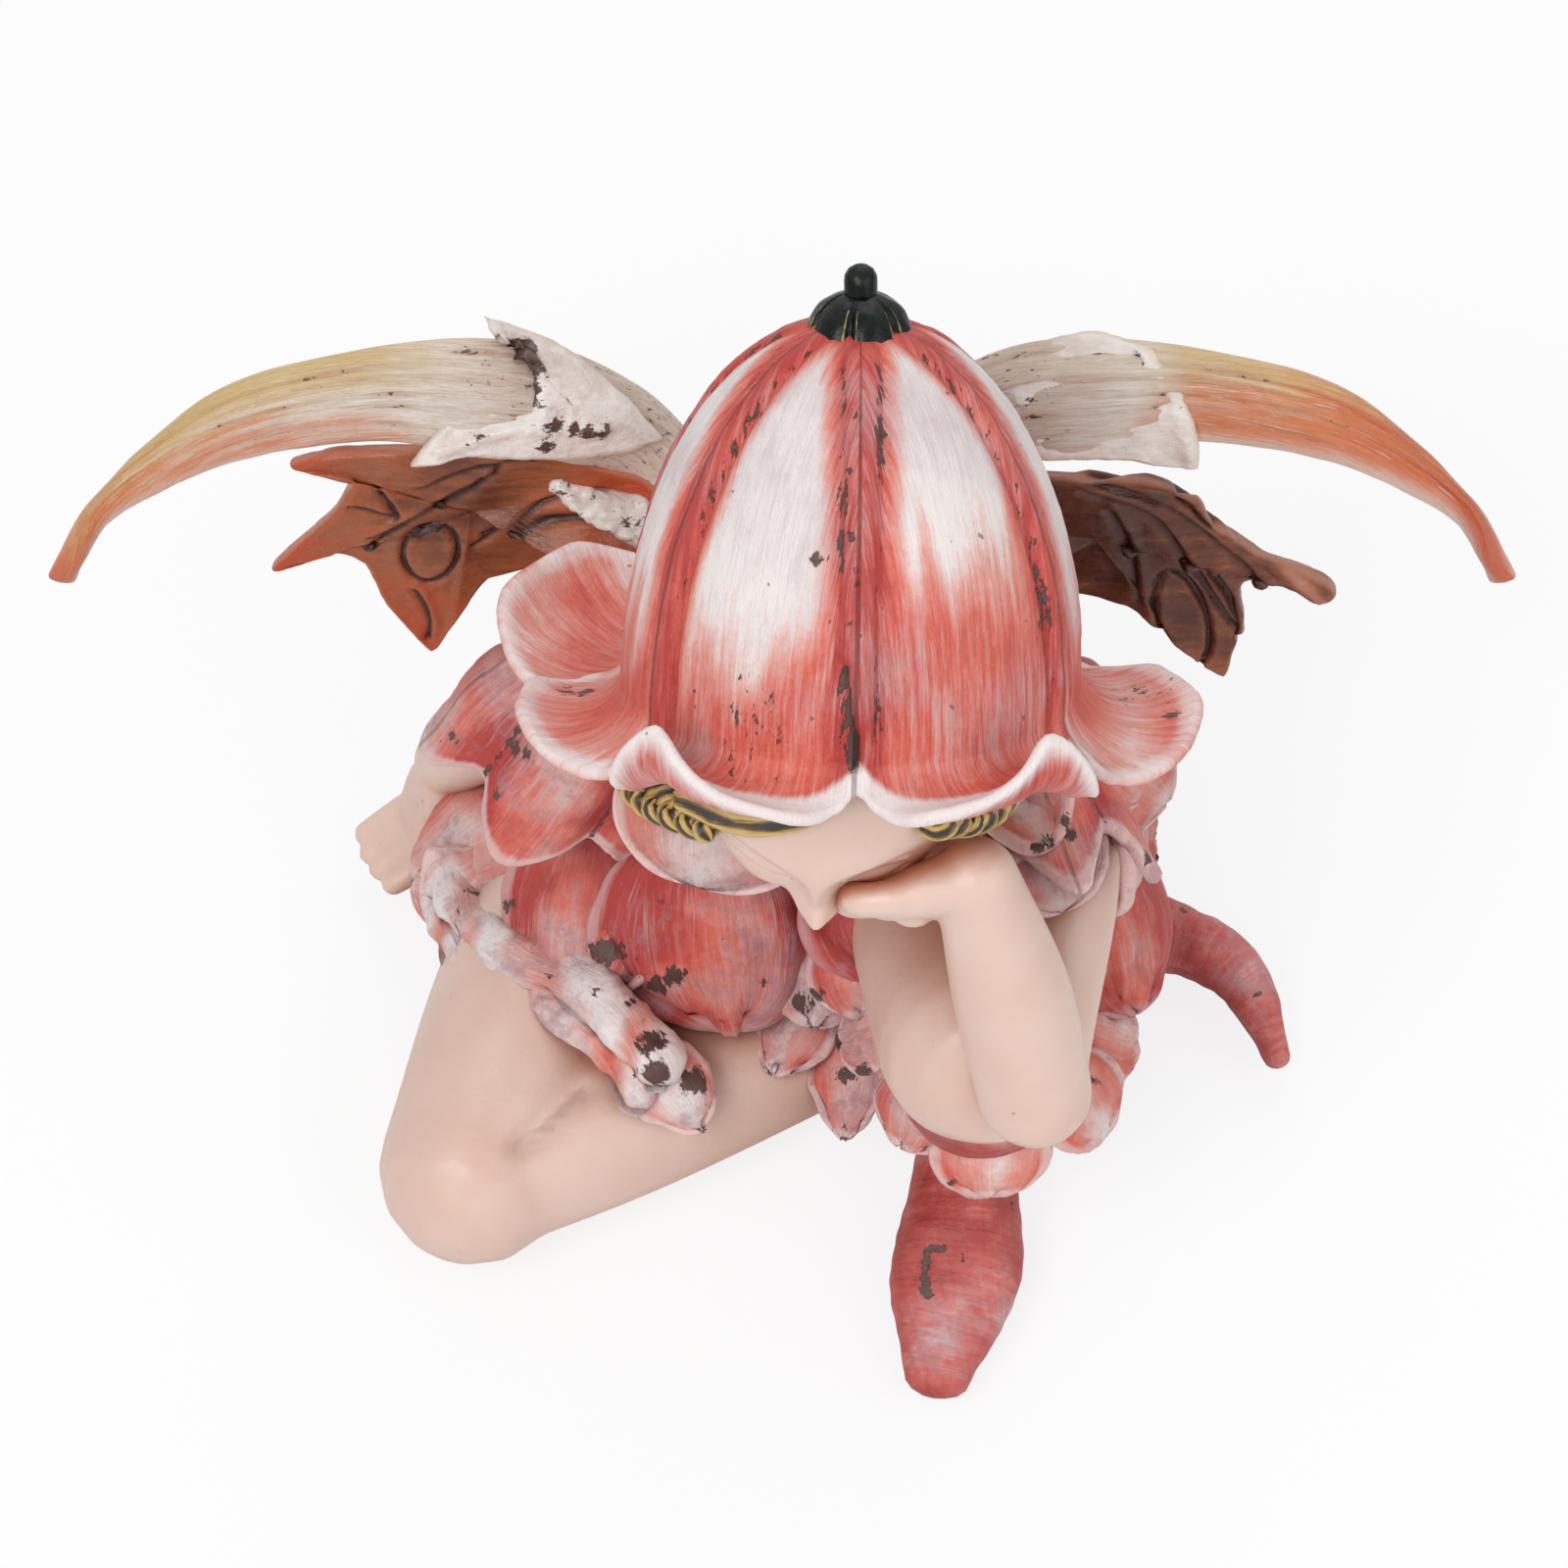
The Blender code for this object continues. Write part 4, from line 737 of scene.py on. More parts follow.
def hair():
    """A combed hair cap under the hat, a gathered nape, brow locks and braids."""
    half = vec(*HEAD_SIZE) / 2 + HAIR_THICKNESS
    cap = ball(frame_point((0, 4.0, 3.5)), half * vec(1, 0.93, 0.9), 160, 40)
    nape = ball(frame_point((0, 5.0, -4.0)), vec(13.2, 11.6, 10.5), 160, 40)
    parts = []
    for n, form in enumerate((cap, nape)):
        x, y, _ = (form.verts - HEAD_CENTRE).T
        turn = np.arctan2(y, x)
        comb = np.sin(46 * turn + 0.5 * form.verts[:, 2] + 2.5 * wobble(form.verts, 7, n))
        form.verts += form.normals() * (0.22 * comb)[:, None]
        form.mask[:, 0] = np.clip(0.5 + 0.5 * comb, 0, 1)
        form.flow[:, 0] = turn * 14
        form.flow[:, 1] = form.verts[:, 2]
        parts.append(form)
    parts += [lock(stations, 6, n) for n, stations in enumerate(BROW_LOCKS)]
    parts += [braid(path, 5, 7 + 3 * n) for n, path in enumerate(BRAIDS)]
    return merged(parts)


def torso():
    """The leaning bodice."""
    lean = vec(*NECK_BASE) - WAIST
    chest = vec(*WAIST) + lean * 0.6
    stations = [(*PELVIS, 0.5 * WAIST_SIZE[0], 0.5 * WAIST_SIZE[1]),
                (*WAIST, 0.5 * WAIST_SIZE[0], 0.5 * WAIST_SIZE[1]),
                (*chest, 0.5 * CHEST_SIZE[0], 0.5 * CHEST_SIZE[1]),
                (*NECK_BASE, 0.34 * CHEST_SIZE[0], 0.34 * CHEST_SIZE[1])]
    body = limb(stations, 96, 70, up=(-0.25, 1, 0), seed=2, mask=(0, 0.3, 0))
    turns = body.flow[:, 0] / 16
    folds = np.sin(9 * turns + 2 * wobble(body.verts, 12, 4))
    body.verts += body.normals() * (0.45 * folds)[:, None]
    body.mask[:, 1] = 0.3 + 0.25 * folds
    return body.clay(0.55, 6, 3).clay(0.15, 2, 5)


def skirt_point(share, turn):
    """Points of the skirt at a share of the way down and an angle round the waist."""
    share, turn = np.broadcast_arrays(np.asarray(share, float), np.asarray(turn, float))
    spread = np.sin(0.5 * math.pi * np.clip(share * 1.15, 0, 1)) ** 1.1
    wave = 1 + 0.04 * share * np.sin(7 * turn + 0.6)
    wide = 0.5 * (WAIST_SIZE[0] + (SKIRT_SIZE[0] - WAIST_SIZE[0]) * spread) * wave
    deep = 0.5 * (WAIST_SIZE[1] + (SKIRT_SIZE[1] - WAIST_SIZE[1]) * spread) * wave
    return triple(WAIST[0] * (1 - share) + wide * np.cos(turn),
                  WAIST[1] * (1 - share) - 3 * share + deep * np.sin(turn),
                  WAIST[2] * (1 - share) ** 0.9)


def skirt():
    """The full skirt: a soft dome from the waist to the floor, wavy and gathered."""
    turn, share = np.meshgrid(circle(160), np.linspace(0, 1, 50))
    folds = np.sin(15 * turn + 1.2 * np.sin(3 * turn)) * share ** 1.4
    out = triple(np.cos(turn), np.sin(turn), 0)
    points = skirt_point(share, turn) + out * (0.8 * folds)[..., None]
    rim = np.exp(-(1 - share) * 45 / 2.0)
    form = lofted(points, triple(turn * 30, share * 45, 4), triple(rim, 0.3 + 0.2 * folds, 0))
    form.clay(0.25, 5, 6)
    form.verts[:, 2] = np.maximum(form.verts[:, 2], 0.0)
    return form


def back_petals():
    """Long petals that lie side by side over the back and sides of the skirt."""
    parts = []
    for n, degrees in enumerate(BACK_PETAL_ANGLES):
        turn = math.radians(degrees)
        base = skirt_point(0.04, turn)
        along = skirt_point(0.4, turn) - base
        outward = (math.cos(turn), math.sin(turn), 0.4)
        form = petal(base, along, outward, BACK_PETAL_SIZE[0], BACK_PETAL_SIZE[1], 6, -0.16,
                     thick=3.6, point=0.3, ruffle=0.5, seed=n, around=60, rows=48)
        for offset in (-0.5, 0.0, 0.5):
            side = unit(np.cross(along, outward))
            form.carve([base + along * 0.35 + side * offset * 6,
                        base + along * 1.5 + side * offset * 14], 0.6, 0.3, dark=0.25)
        parts.append(form)
    return merged(parts).clay(0.18, 4, 8)


# Petals of the dress: base, direction, facing, length, width, curl, cup, pointed
SKIRT_PETALS = (
    ((-19, -11, 36), (-0.2, -0.8, -0.45), (-0.4, -0.4, 0.9), 22, 19, -18, -0.25, 0.0),
    ((-8, -16, 42), (0.1, -0.75, -0.55), (0.0, -0.6, 0.9), 26, 27, -45, -0.35, 0.0),
    ((6, -18, 42), (0.35, -0.9, -0.3), (0, -0.5, 1), 17, 15, -35, -0.3, 0.3),
    ((28, -14, 46), (0.45, -0.8, -0.35), (0.45, -0.2, 0.9), 27, 17, -45, -0.35, 0.0),
    ((26, -30, 38), (0.4, -0.7, -0.6), (0.5, -0.5, 0.7), 15, 12, -40, -0.35, 0.0),
    ((26, -10, 36), (0.9, 0.1, -0.5), (0.6, 0, 0.8), 20, 22, -45, -0.25, 0.1),
    ((27, -19, 40), (0.72, -0.6, -0.45), (0.5, -0.25, 0.8), 19, 17, -40, -0.35, 0.0),
)


def dress_petals():
    """Big overlapping petals over the skirt."""
    parts = []
    for n, (base, out, face, length, width, curl, cup, point) in enumerate(SKIRT_PETALS):
        parts.append(petal(base, out, face, length, width, curl, cup, point=point, ruffle=0.7,
                           seed=20 + n, around=72, rows=62))
    form = merged(parts)
    folds = np.sin(1.0 * form.flow[:, 0] + 3.0 * wobble(form.verts, 9, 3))
    form.verts += form.normals() * (0.4 * folds)[:, None]
    form.clay(0.8, 7, 9).clay(0.25, 2.5, 10)
    chipped(form, 1.3, (598, 972), (612, 975), (628, 978), (672, 1012), (690, 1008), (745, 862),
            (508, 928), (1118, 930), (1122, 1055))
    chipped(form, 1.4, (605, 974), (625, 976), (675, 1012), (690, 1004), (1122, 1055),
            strength=0.54)
    return chipped(form, 0.7, (700, 1000), (780, 1010), (545, 920), (720, 890), (1110, 950))


# Middle line of the hem's roll, with its half width and half thickness
HEM_ROLL = ((-35.8, -10.0, 17.0, 2.0, 1.8), (-32.5, -18.5, 20.5, 2.8, 2.2),
            (-27.5, -23.5, 23.5, 3.2, 2.3), (-21.5, -27.5, 25.5, 3.2, 2.3),
            (-16.5, -32.0, 26.0, 3.0, 2.2), (-13.0, -37.0, 24.5, 2.8, 2.0))


def hem():
    """The curled hem over the folded thigh: a roll, its frill and the last tip."""
    parts = []
    for n, (aside, drop, size) in enumerate(((0.0, 0.0, 1.0), (-2.2, -2.2, 0.72))):
        path = [(x + 0.8 * aside, y + aside, z + drop, wide * size, thick * size)
                for x, y, z, wide, thick in HEM_ROLL]
        roll = limb(path, 48, 160, seed=30 + n, mask=(0.45 - 0.3 * n, 0.85 - 0.3 * n, 0))
        turns = roll.flow[:, 0] / np.abs(roll.flow[:, 0]).max() * math.pi
        folds = np.sin(0.45 * roll.flow[:, 1] + 3 * turns + 1.5 * wobble(roll.verts, 6, 2) + n)
        roll.verts += roll.normals() * (0.5 * folds)[:, None]
        roll.mask[:, 1] *= 0.75 + 0.35 * folds
        roll.mask[:, 2] = 0.30 * np.clip(-folds, 0, 1)
        parts.append(roll)
    tip = petal((-14.5, -34.0, 24.0), (0.55, -0.75, -0.3), (0, -0.3, 1), 11, 9, -20, -0.3,
                point=0.8, seed=32)
    end = petal((-32.0, -9.5, 20.0), (-0.75, -0.35, -0.3), (0, -0.3, 1), 8, 7, -20, 0.2,
                point=0.6, seed=33)
    form = merged(parts + [tip, end]).clay(0.4, 2.6, 11).clay(0.15, 0.9, 24)
    chipped(form, 1.7, (668, 1055), (668, 1100), (715, 1102), strength=0.56)
    return chipped(form, 0.9, (556, 958), (655, 1010), (640, 1095), (490, 905), (600, 1015))


def collar():
    """Petals round the neck, one of them hanging under the chin."""
    parts = [petal((-4.0, -22.0, 69.5), (-0.25, -0.9, -0.28), (0, -0.4, 1), 17, 20, -10, 0.15,
                   seed=40)]
    for n, (base, out) in enumerate((((-11.6, -14.4, 66.3), (-0.85, -0.3, -0.25)),
                                     ((17, -23, 67), (0.75, -0.35, -0.2)),
                                     ((14, -12, 67), (0.6, 0.7, -0.2)),
                                     ((-4, -8, 66), (-0.4, 0.9, -0.2)))):
        parts.append(petal(base, out, (0, 0, 1), 13, 15, -30, 0.0, ruffle=0.5, seed=41 + n))
    return merged(parts).clay(0.2, 4, 12)


def puff(top, mouth, tilt_out, wide, petals, flare_out, seed):
    """A bell sleeve of joined petals from the shoulder to an open, rolled mouth."""
    top = vec(*top)
    mouth = vec(*mouth)
    axis = unit(mouth - top)
    side = unit(np.cross(axis, vec(*tilt_out)))
    third = np.cross(side, axis)
    length = np.linalg.norm(mouth - top)
    turns = circle(140)
    phase = np.cos(petals * turns)
    away = np.outer(np.cos(turns), side) + np.outer(np.sin(turns), third)
    rings = []
    flow = []
    mask = []

    def add(s, inset, back, rim, pale):
        radius = wide * (0.42 + 0.58 * math.sin(0.5 * math.pi * min(1, s * 1.5)) ** 0.8)
        radius += flare_out * max(0, s - 0.7) / 0.3
        groove = 1 - 0.10 * np.exp(-((1 + phase) / 0.35) ** 1.0) - 0.03 * (1 - phase)
        reach = length * s * (1 + 0.14 * s ** 2 * phase) - back
        rings.append(top + np.outer(reach, axis) + away * (radius * groove - inset)[:, None])
        flow.append(triple(turns * 10, s * length, seed))
        dark = 0.45 * np.exp(-((1 + phase) / 0.05)) * (1 if inset == 0 else 0.2)
        mask.append(triple(rim, pale * (0.55 + 0.45 * phase), dark))

    for s in np.linspace(0, 1, 50):
        add(s, 0.0, 0.0, math.exp(-(1 - s) * length / 1.6), 0.65 - 0.3 * s)
    for a in np.radians((40, 90, 140)):
        add(1.0, 0.5 * SLEEVE_WALL * (1 - math.cos(a)), -0.5 * SLEEVE_WALL * math.sin(a), 1.0, 0.6)
    outer = len(mask)
    for s in np.linspace(1, 0.55, 16):
        add(s, SLEEVE_WALL, 0.0, math.exp(-(1 - s) * length / 1.2), 0.0)
    for ring in mask[outer:]:
        ring[:, 2] = 0.75 * ease(1 - ring[:, 0], 0.1, 0.5)
    return lofted(rings, flow, mask, top - axis * 2)


# Loose petals of the left shoulder: as the skirt's, then pointed and seed
SHOULDER_PETALS = (
    ((24, -20, 68), (0.85, -0.3, -0.5), (0.2, -0.4, 1), 18, 18, -25, -0.15, 0.0, 52),
    ((21.5, -26, 69.5), (0.33, -0.87, -0.3), (0.2, -0.3, 1), 16, 12.5, -12, 0.3, 0.0, 55),
    ((19, -24, 71), (0.35, -0.75, -0.15), (0, 0, 1), 15, 10, 25, 0.2, 0.6, 53),
    ((27, -19, 58), (0.62, -0.62, -0.5), (0.5, -0.2, 0.8), 18, 16, -45, -0.3, 0.0, 54),
    ((27.5, -16.5, 68.5), (0.7, -0.55, -0.5), (0.6, -0.1, 0.8), 15, 15, -35, -0.25, 0.0, 56),
)


def sleeves():
    """The two petal sleeves, with a few loose petals on the left shoulder."""
    right = puff((-14.5, -10.5, 65), (-24.2, -12.8, 46.0), (0, -1, 0), 12.4, 5, 0.4, 50)
    left = puff((21, -17, 67), (27.2, -35.5, 62.0), (1, 0, 0), 8.4, 5, 0.8, 51)
    loose = [petal(*values, point=point, seed=seed) for *values, point, seed in SHOULDER_PETALS]
    form = merged([right, left] + loose).clay(0.5, 5, 13).clay(0.15, 1.6, 25)
    return chipped(form, 1.0, (520, 765), (528, 772), (455, 755), (498, 812), (1055, 860),
                   (1075, 850), (1100, 845), (1095, 835), (1135, 920), (1215, 870))


def arms():
    """Both arms in bare skin."""
    chest = vec(*WAIST) + (vec(*NECK_BASE) - WAIST) * 0.7
    fore = 0.5 * (ELBOW_RADIUS + WRIST_RADIUS)
    right = limb([(*chest, SHOULDER_RADIUS, SHOULDER_RADIUS),
                  (*SHOULDER_R, SHOULDER_RADIUS, SHOULDER_RADIUS),
                  (*ELBOW_R, 0.85 * ELBOW_RADIUS, 0.85 * ELBOW_RADIUS),
                  (*WRIST_R, WRIST_RADIUS, WRIST_RADIUS)], 36, 70, up=(1, 0.2, 0.1))
    upper = limb([(*chest, SHOULDER_RADIUS, SHOULDER_RADIUS),
                  (*SHOULDER_L, SHOULDER_RADIUS, SHOULDER_RADIUS),
                  (*ELBOW_L, 0.88 * ELBOW_RADIUS, 0.88 * ELBOW_RADIUS)], 36, 60)
    middle = 0.5 * (vec(*ELBOW_L) + WRIST_L) + vec(0.6, 0.4, -2)
    lower = limb([(*ELBOW_L, ELBOW_RADIUS, ELBOW_RADIUS),
                  (*middle, fore + 0.9, fore + 0.9),
                  (*WRIST_L, WRIST_RADIUS, WRIST_RADIUS)], 36, 60, up=(0, 1, 0))
    return right, upper, lower


def hand(wrist, knuckle, across, reach, bend, palm_half, thumb):
    """A palm with four fingers side by side and a thumb."""
    wrist = vec(*wrist)
    knuckle = vec(*knuckle)
    across = unit(across)
    size = FINGER_RADIUS
    parts = [limb([(*wrist, WRIST_RADIUS * 0.85, WRIST_RADIUS * 0.75),
                   (*(0.5 * (wrist + knuckle)), palm_half * 0.95, 2.75),
                   (*knuckle, palm_half, 2.1)], 30, 24, up=np.cross(across, knuckle - wrist))]
    for n in range(4):
        offset = (n - 1.5) / 1.5 * (palm_half - size * 0.8)
        start = knuckle + across * offset
        long = 1.0 - 0.08 * abs(n - 1.3)
        mid = start + vec(*reach) * 0.5 * long
        tip = mid + vec(*bend) * 0.5 * long
        parts.append(limb([(*start, size, size), (*mid, size * 0.92, size * 0.92),
                           (*tip, size * 0.8, size * 0.8)], 20, 20, up=across))
    root, end = thumb
    parts.append(limb([(*root, size * 1.3, size * 1.3), (*end, size, size)], 20, 14, up=across))
    return parts


def hands():
    """The right hand flat on the floor, the left one curled under the cheek."""
    right = hand(WRIST_R, (-40.0, 0.6, 7.5), (0.42, -0.9, 0.1), (-5.5, -2.2, -3.0),
                 (-5.5, -2.6, -2.4), 5.2, ((-35.5, -1.5, 11), (-38.5, -7.5, 3.6)))
    left = hand(WRIST_L, (9.6, -48.2, 81.4), (0.1, -0.45, 0.9), (-7.5, 1.0, -2.2),
                (-0.5, 6.0, -3.0), 4.3, ((12.0, -47.0, 78.0), (6.5, -43.0, 76.0)))
    return right, left


def bare_legs():
    """The folded right leg, flat on the floor, and the raised left thigh."""
    thigh_r = limb([(*HIP_R, THIGH_RADIUS, THIGH_RADIUS),
                    (-24.5, -19.4, 13.0, THIGH_RADIUS - 0.6, 12.5),
                    (*KNEE_R, KNEE_RADIUS - 0.4, KNEE_RADIUS)], 140, 110)
    calf = vec(*KNEE_R) * 0.62 + vec(*ANKLE_R) * 0.38
    shin_r = limb([(*KNEE_R, 0.86 * KNEE_RADIUS, 0.9 * KNEE_RADIUS),
                   (*calf, CALF_RADIUS, CALF_RADIUS + 1.0),
                   (*ANKLE_R, ANKLE_RADIUS, ANKLE_RADIUS + 1.5)], 64, 60)
    thigh_l = limb([(*HIP_L, THIGH_RADIUS - 1, THIGH_RADIUS),
                    (16.0, -20.0, 31.0, THIGH_RADIUS - 1.5, 12.0),
                    (*KNEE_L, 1.0 * KNEE_RADIUS, 0.98 * KNEE_RADIUS)], 64, 60)
    folded = merged([thigh_r, shin_r])
    fold = seen_at(folded, (600, 1102), (583, 1122), (562, 1148), (540, 1168))
    # The fold between thigh and calf is pressed in and darkened: a warm brown line, partly painted
    # shade.
    return folded.carve(fold, 1.0, 0.9, dark=0.42).carve(fold, 2.4, 0.5), thigh_l


def boots():
    """Two soft boots, the right one curved round to a pointed toe, and the left shin."""
    shin = limb([(*KNEE_L, 0.88 * KNEE_RADIUS, 0.84 * KNEE_RADIUS),
                 (20.4, -40.5, 29.0, CALF_RADIUS, CALF_RADIUS),
                 (*ANKLE_L, ANKLE_RADIUS, ANKLE_RADIUS)], 60, 60, up=(0, 1, 0), seed=60)
    heel = vec(*ANKLE_L) + vec(0.2, 3.5, -3.5)
    toe = vec(*TOE_L)
    ball_l = heel * 0.35 + toe * 0.65 + vec(0.6, 0, 1.0)
    mid = 0.7 * heel + 0.3 * toe + vec(0.3, 0, 1.2)
    left = limb([(*heel, 0.36 * BOOT_WIDTH, 0.55 * BOOT_HEIGHT),
                 (*mid, 0.44 * BOOT_WIDTH, 0.62 * BOOT_HEIGHT),
                 (*ball_l, 0.52 * BOOT_WIDTH, 0.5 * BOOT_HEIGHT),
                 (*toe, 0.26 * BOOT_WIDTH, 0.24 * BOOT_HEIGHT)], 64, 80, seed=61)
    right = limb([(*ANKLE_R, ANKLE_RADIUS + 0.6, ANKLE_RADIUS + 1.2),
                  (31.0, -12.8, 8.0, 5.8, 6.0),
                  (42.6, -12.6, 7.2, 3.6, 4.6),
                  (49.8, -17.2, 6.2, 2.9, 3.4),
                  (*TOE_R, 1.5, 1.5)], 56, 90, seed=62)
    for form in (shin, left, right):
        form.mask[:, 1] = 0.45
        rings = np.sin(2.2 * form.flow[:, 1] + 2.0 * wobble(form.verts, 5, 1))
        form.verts += form.normals() * (0.04 * rings)[:, None]
    form = merged([shin, left, right]).clay(0.35, 5, 14).clay(0.12, 1.6, 26)
    for width, path in ((0.35, ((940, 1275), (936, 1300), (942, 1325))),
                        (0.25, ((948, 1268), (955, 1272)))):
        form.carve(seen_at(form, *path), 2.2 * width, 0.12, dark=0.6)
    return chipped(form, 0.7, (1075, 1225), (990, 1290), (1215, 925), (1290, 1020), (938, 1310))


# Cuff petals of the boots: base, direction, facing, length, width, curl, pointed
CUFF_PETALS = (
    ((14.5, -41.0, 33.0), (-0.35, -0.55, -0.6), (-0.6, -0.5, 0.5), 10, 10, -35, 0.0),
    ((21.0, -44.0, 33.0), (0.0, -0.75, -0.65), (0, -0.7, 0.6), 12, 12.5, -35, 0.0),
    ((27.5, -40.5, 33.5), (0.55, -0.5, -0.5), (0.6, -0.5, 0.5), 10.5, 11, -35, 0.0),
    ((28.0, -35.0, 33.0), (0.85, 0.1, -0.5), (0.8, 0, 0.5), 12, 12, -35, 0.0),
    ((13.0, -35.0, 33.0), (-0.85, 0.1, -0.5), (-0.8, 0, 0.5), 10, 11, -35, 0.0),
    ((20.0, -31.0, 32.0), (0.0, 0.8, -0.5), (0, 0.8, 0.5), 10, 12, -35, 0.0),
    ((7.5, -27.0, 20.0), (-0.1, -0.8, -0.5), (-0.2, -0.6, 0.7), 15, 9, -20, 0.7),
    ((4.5, -24.0, 20.0), (-0.45, -0.75, -0.1), (-0.2, -0.4, 0.9), 12, 9, -30, 0.4),
    ((10.0, -25.0, 22.0), (0.3, -0.85, -0.1), (0, -0.3, 1), 11, 9, -40, 0.4),
    ((4.0, -22.0, 30.0), (-0.1, -0.8, -0.4), (-0.2, -0.5, 0.8), 12, 11, -30, 0.1),
    ((7.0, -24.0, 36.0), (0.1, -0.85, -0.2), (0, -0.4, 0.9), 12, 11, -45, 0.3),
)


def cuffs():
    """Petals that stand out over the boots and fill the space between the legs."""
    parts = []
    for n, (base, out, face, length, width, curl, point) in enumerate(CUFF_PETALS):
        parts.append(petal(base, out, face, length, width, curl, -0.2, point=point, seed=70 + n,
                           ruffle=0.25, around=46, rows=34))
    form = merged(parts).clay(0.4, 3.5, 15).clay(0.15, 1.5, 16)
    chipped(form, 1.3, (825, 1020), (815, 1030), (845, 1068), (862, 1100), (880, 1105), (975, 1140),
            (960, 1150), (1000, 1155), strength=0.52)
    return chipped(form, 0.8, (1120, 1103), (1128, 1104), (1018, 1170), (965, 1235))


# Wing outlines on the viewer's left: the two edges of the fore wing and the
# closed outlines of its overlaid leaf and of the hind wing
FORE_FRONT = ((-3.0, -9.0, 61.0), (-13.5, 4.0, 70.0), (-21.8, 3.6, 76.0), (-28.3, 2.7, 78.0),
              (-40.3, 4.7, 78.0), (-54.2, 4.3, 75.0), (-65.4, 2.7, 69.0), (-70.2, 2.3, 61.5),
              (-71.8, 1.6, 58.0))
FORE_BACK = ((-3.0, 0.5, 64.0), (-10.5, 11.0, 72.0), (-19.5, 12.0, 82.0), (-29.0, 12.2, 85.0),
             (-41.6, 12.2, 83.0), (-56.0, 10.0, 79.0), (-68.5, 4.6, 69.0), (-73.0, 1.9, 62.0),
             (-74.4, 1.3, 59.0))
LEAF = ((-12.0, 7.0, 75.0), (-20.0, 11.6, 83.0), (-29.2, 13.2, 87.4), (-27.5, 11.2, 85.6),
        (-24.6, 9.0, 83.6), (-29.4, 7.0, 82.0), (-33.0, 5.2, 80.6), (-36.5, 1.7, 78.2),
        (-30.0, 2.4, 78.6), (-21.5, 3.0, 77.0))
LEAF_R = ((-12.0, 7.0, 75.0), (-20.0, 11.6, 83.0), (-26.5, 12.6, 85.4), (-30.5, 11.0, 84.6),
          (-31.8, 9.0, 83.2), (-33.2, 7.2, 81.8), (-33.8, 5.2, 80.2), (-34.6, 1.9, 76.6),
          (-30.0, 2.2, 77.2), (-21.5, 3.0, 77.0))
HIND = ((-2.0, -10.0, 60.5), (-8.5, 0.5, 67.5), (-14.0, 5.0, 72.0), (-28.0, 5.0, 77.0),
        (-43.5, 4.6, 77.0), (-48.7, 5.0, 74.5), (-42.6, 4.2, 73.4), (-44.8, 3.4, 68.4),
        (-51.6, 2.1, 60.0), (-45.5, 2.9, 62.0), (-42.4, 2.8, 60.0), (-40.4, 1.6, 54.0),
        (-36.3, 0.0, 47.6), (-33.6, 0.6, 52.0), (-29.9, 2.6, 57.5), (-19.0, 3.8, 60.0),
        (-9.0, -1.0, 59.5))
HIND_CENTRE = (-31.0, 4.4, 68.0)
HIND_R = (*HIND[:4], (-40.5, 4.6, 76.0), (-43.2, 4.4, 73.4), (-43.6, 3.9, 71.0),
          (-45.6, 3.2, 67.0), *HIND[8:])
LEAF_CENTRE = (-21.0, 6.8, 81.4)
MIRROR_R = -0.995
LEAF_MIRROR_R = -1.25
LEAF_SHIFT_R = (-2.5, 0.5, 0.0)
HIND_LEAN_R = 0.45
HIND_SHIFT_R = (1.2, -1.0, -3.2)
HIND_RINGS = 52
WING_ROOT_Z = 66.0

# Grooves of the fore wing: place from the front to the back edge, start, end, depth
FORE_GROOVES = ((-0.62, 0.25, 0.8, 0.22), (-0.28, 0.18, 0.62, 0.35), (0.02, 0.3, 0.9, 0.22),
                (0.3, 0.12, 0.66, 0.4), (0.52, 0.34, 0.82, 0.26), (0.74, 0.2, 0.6, 0.2))


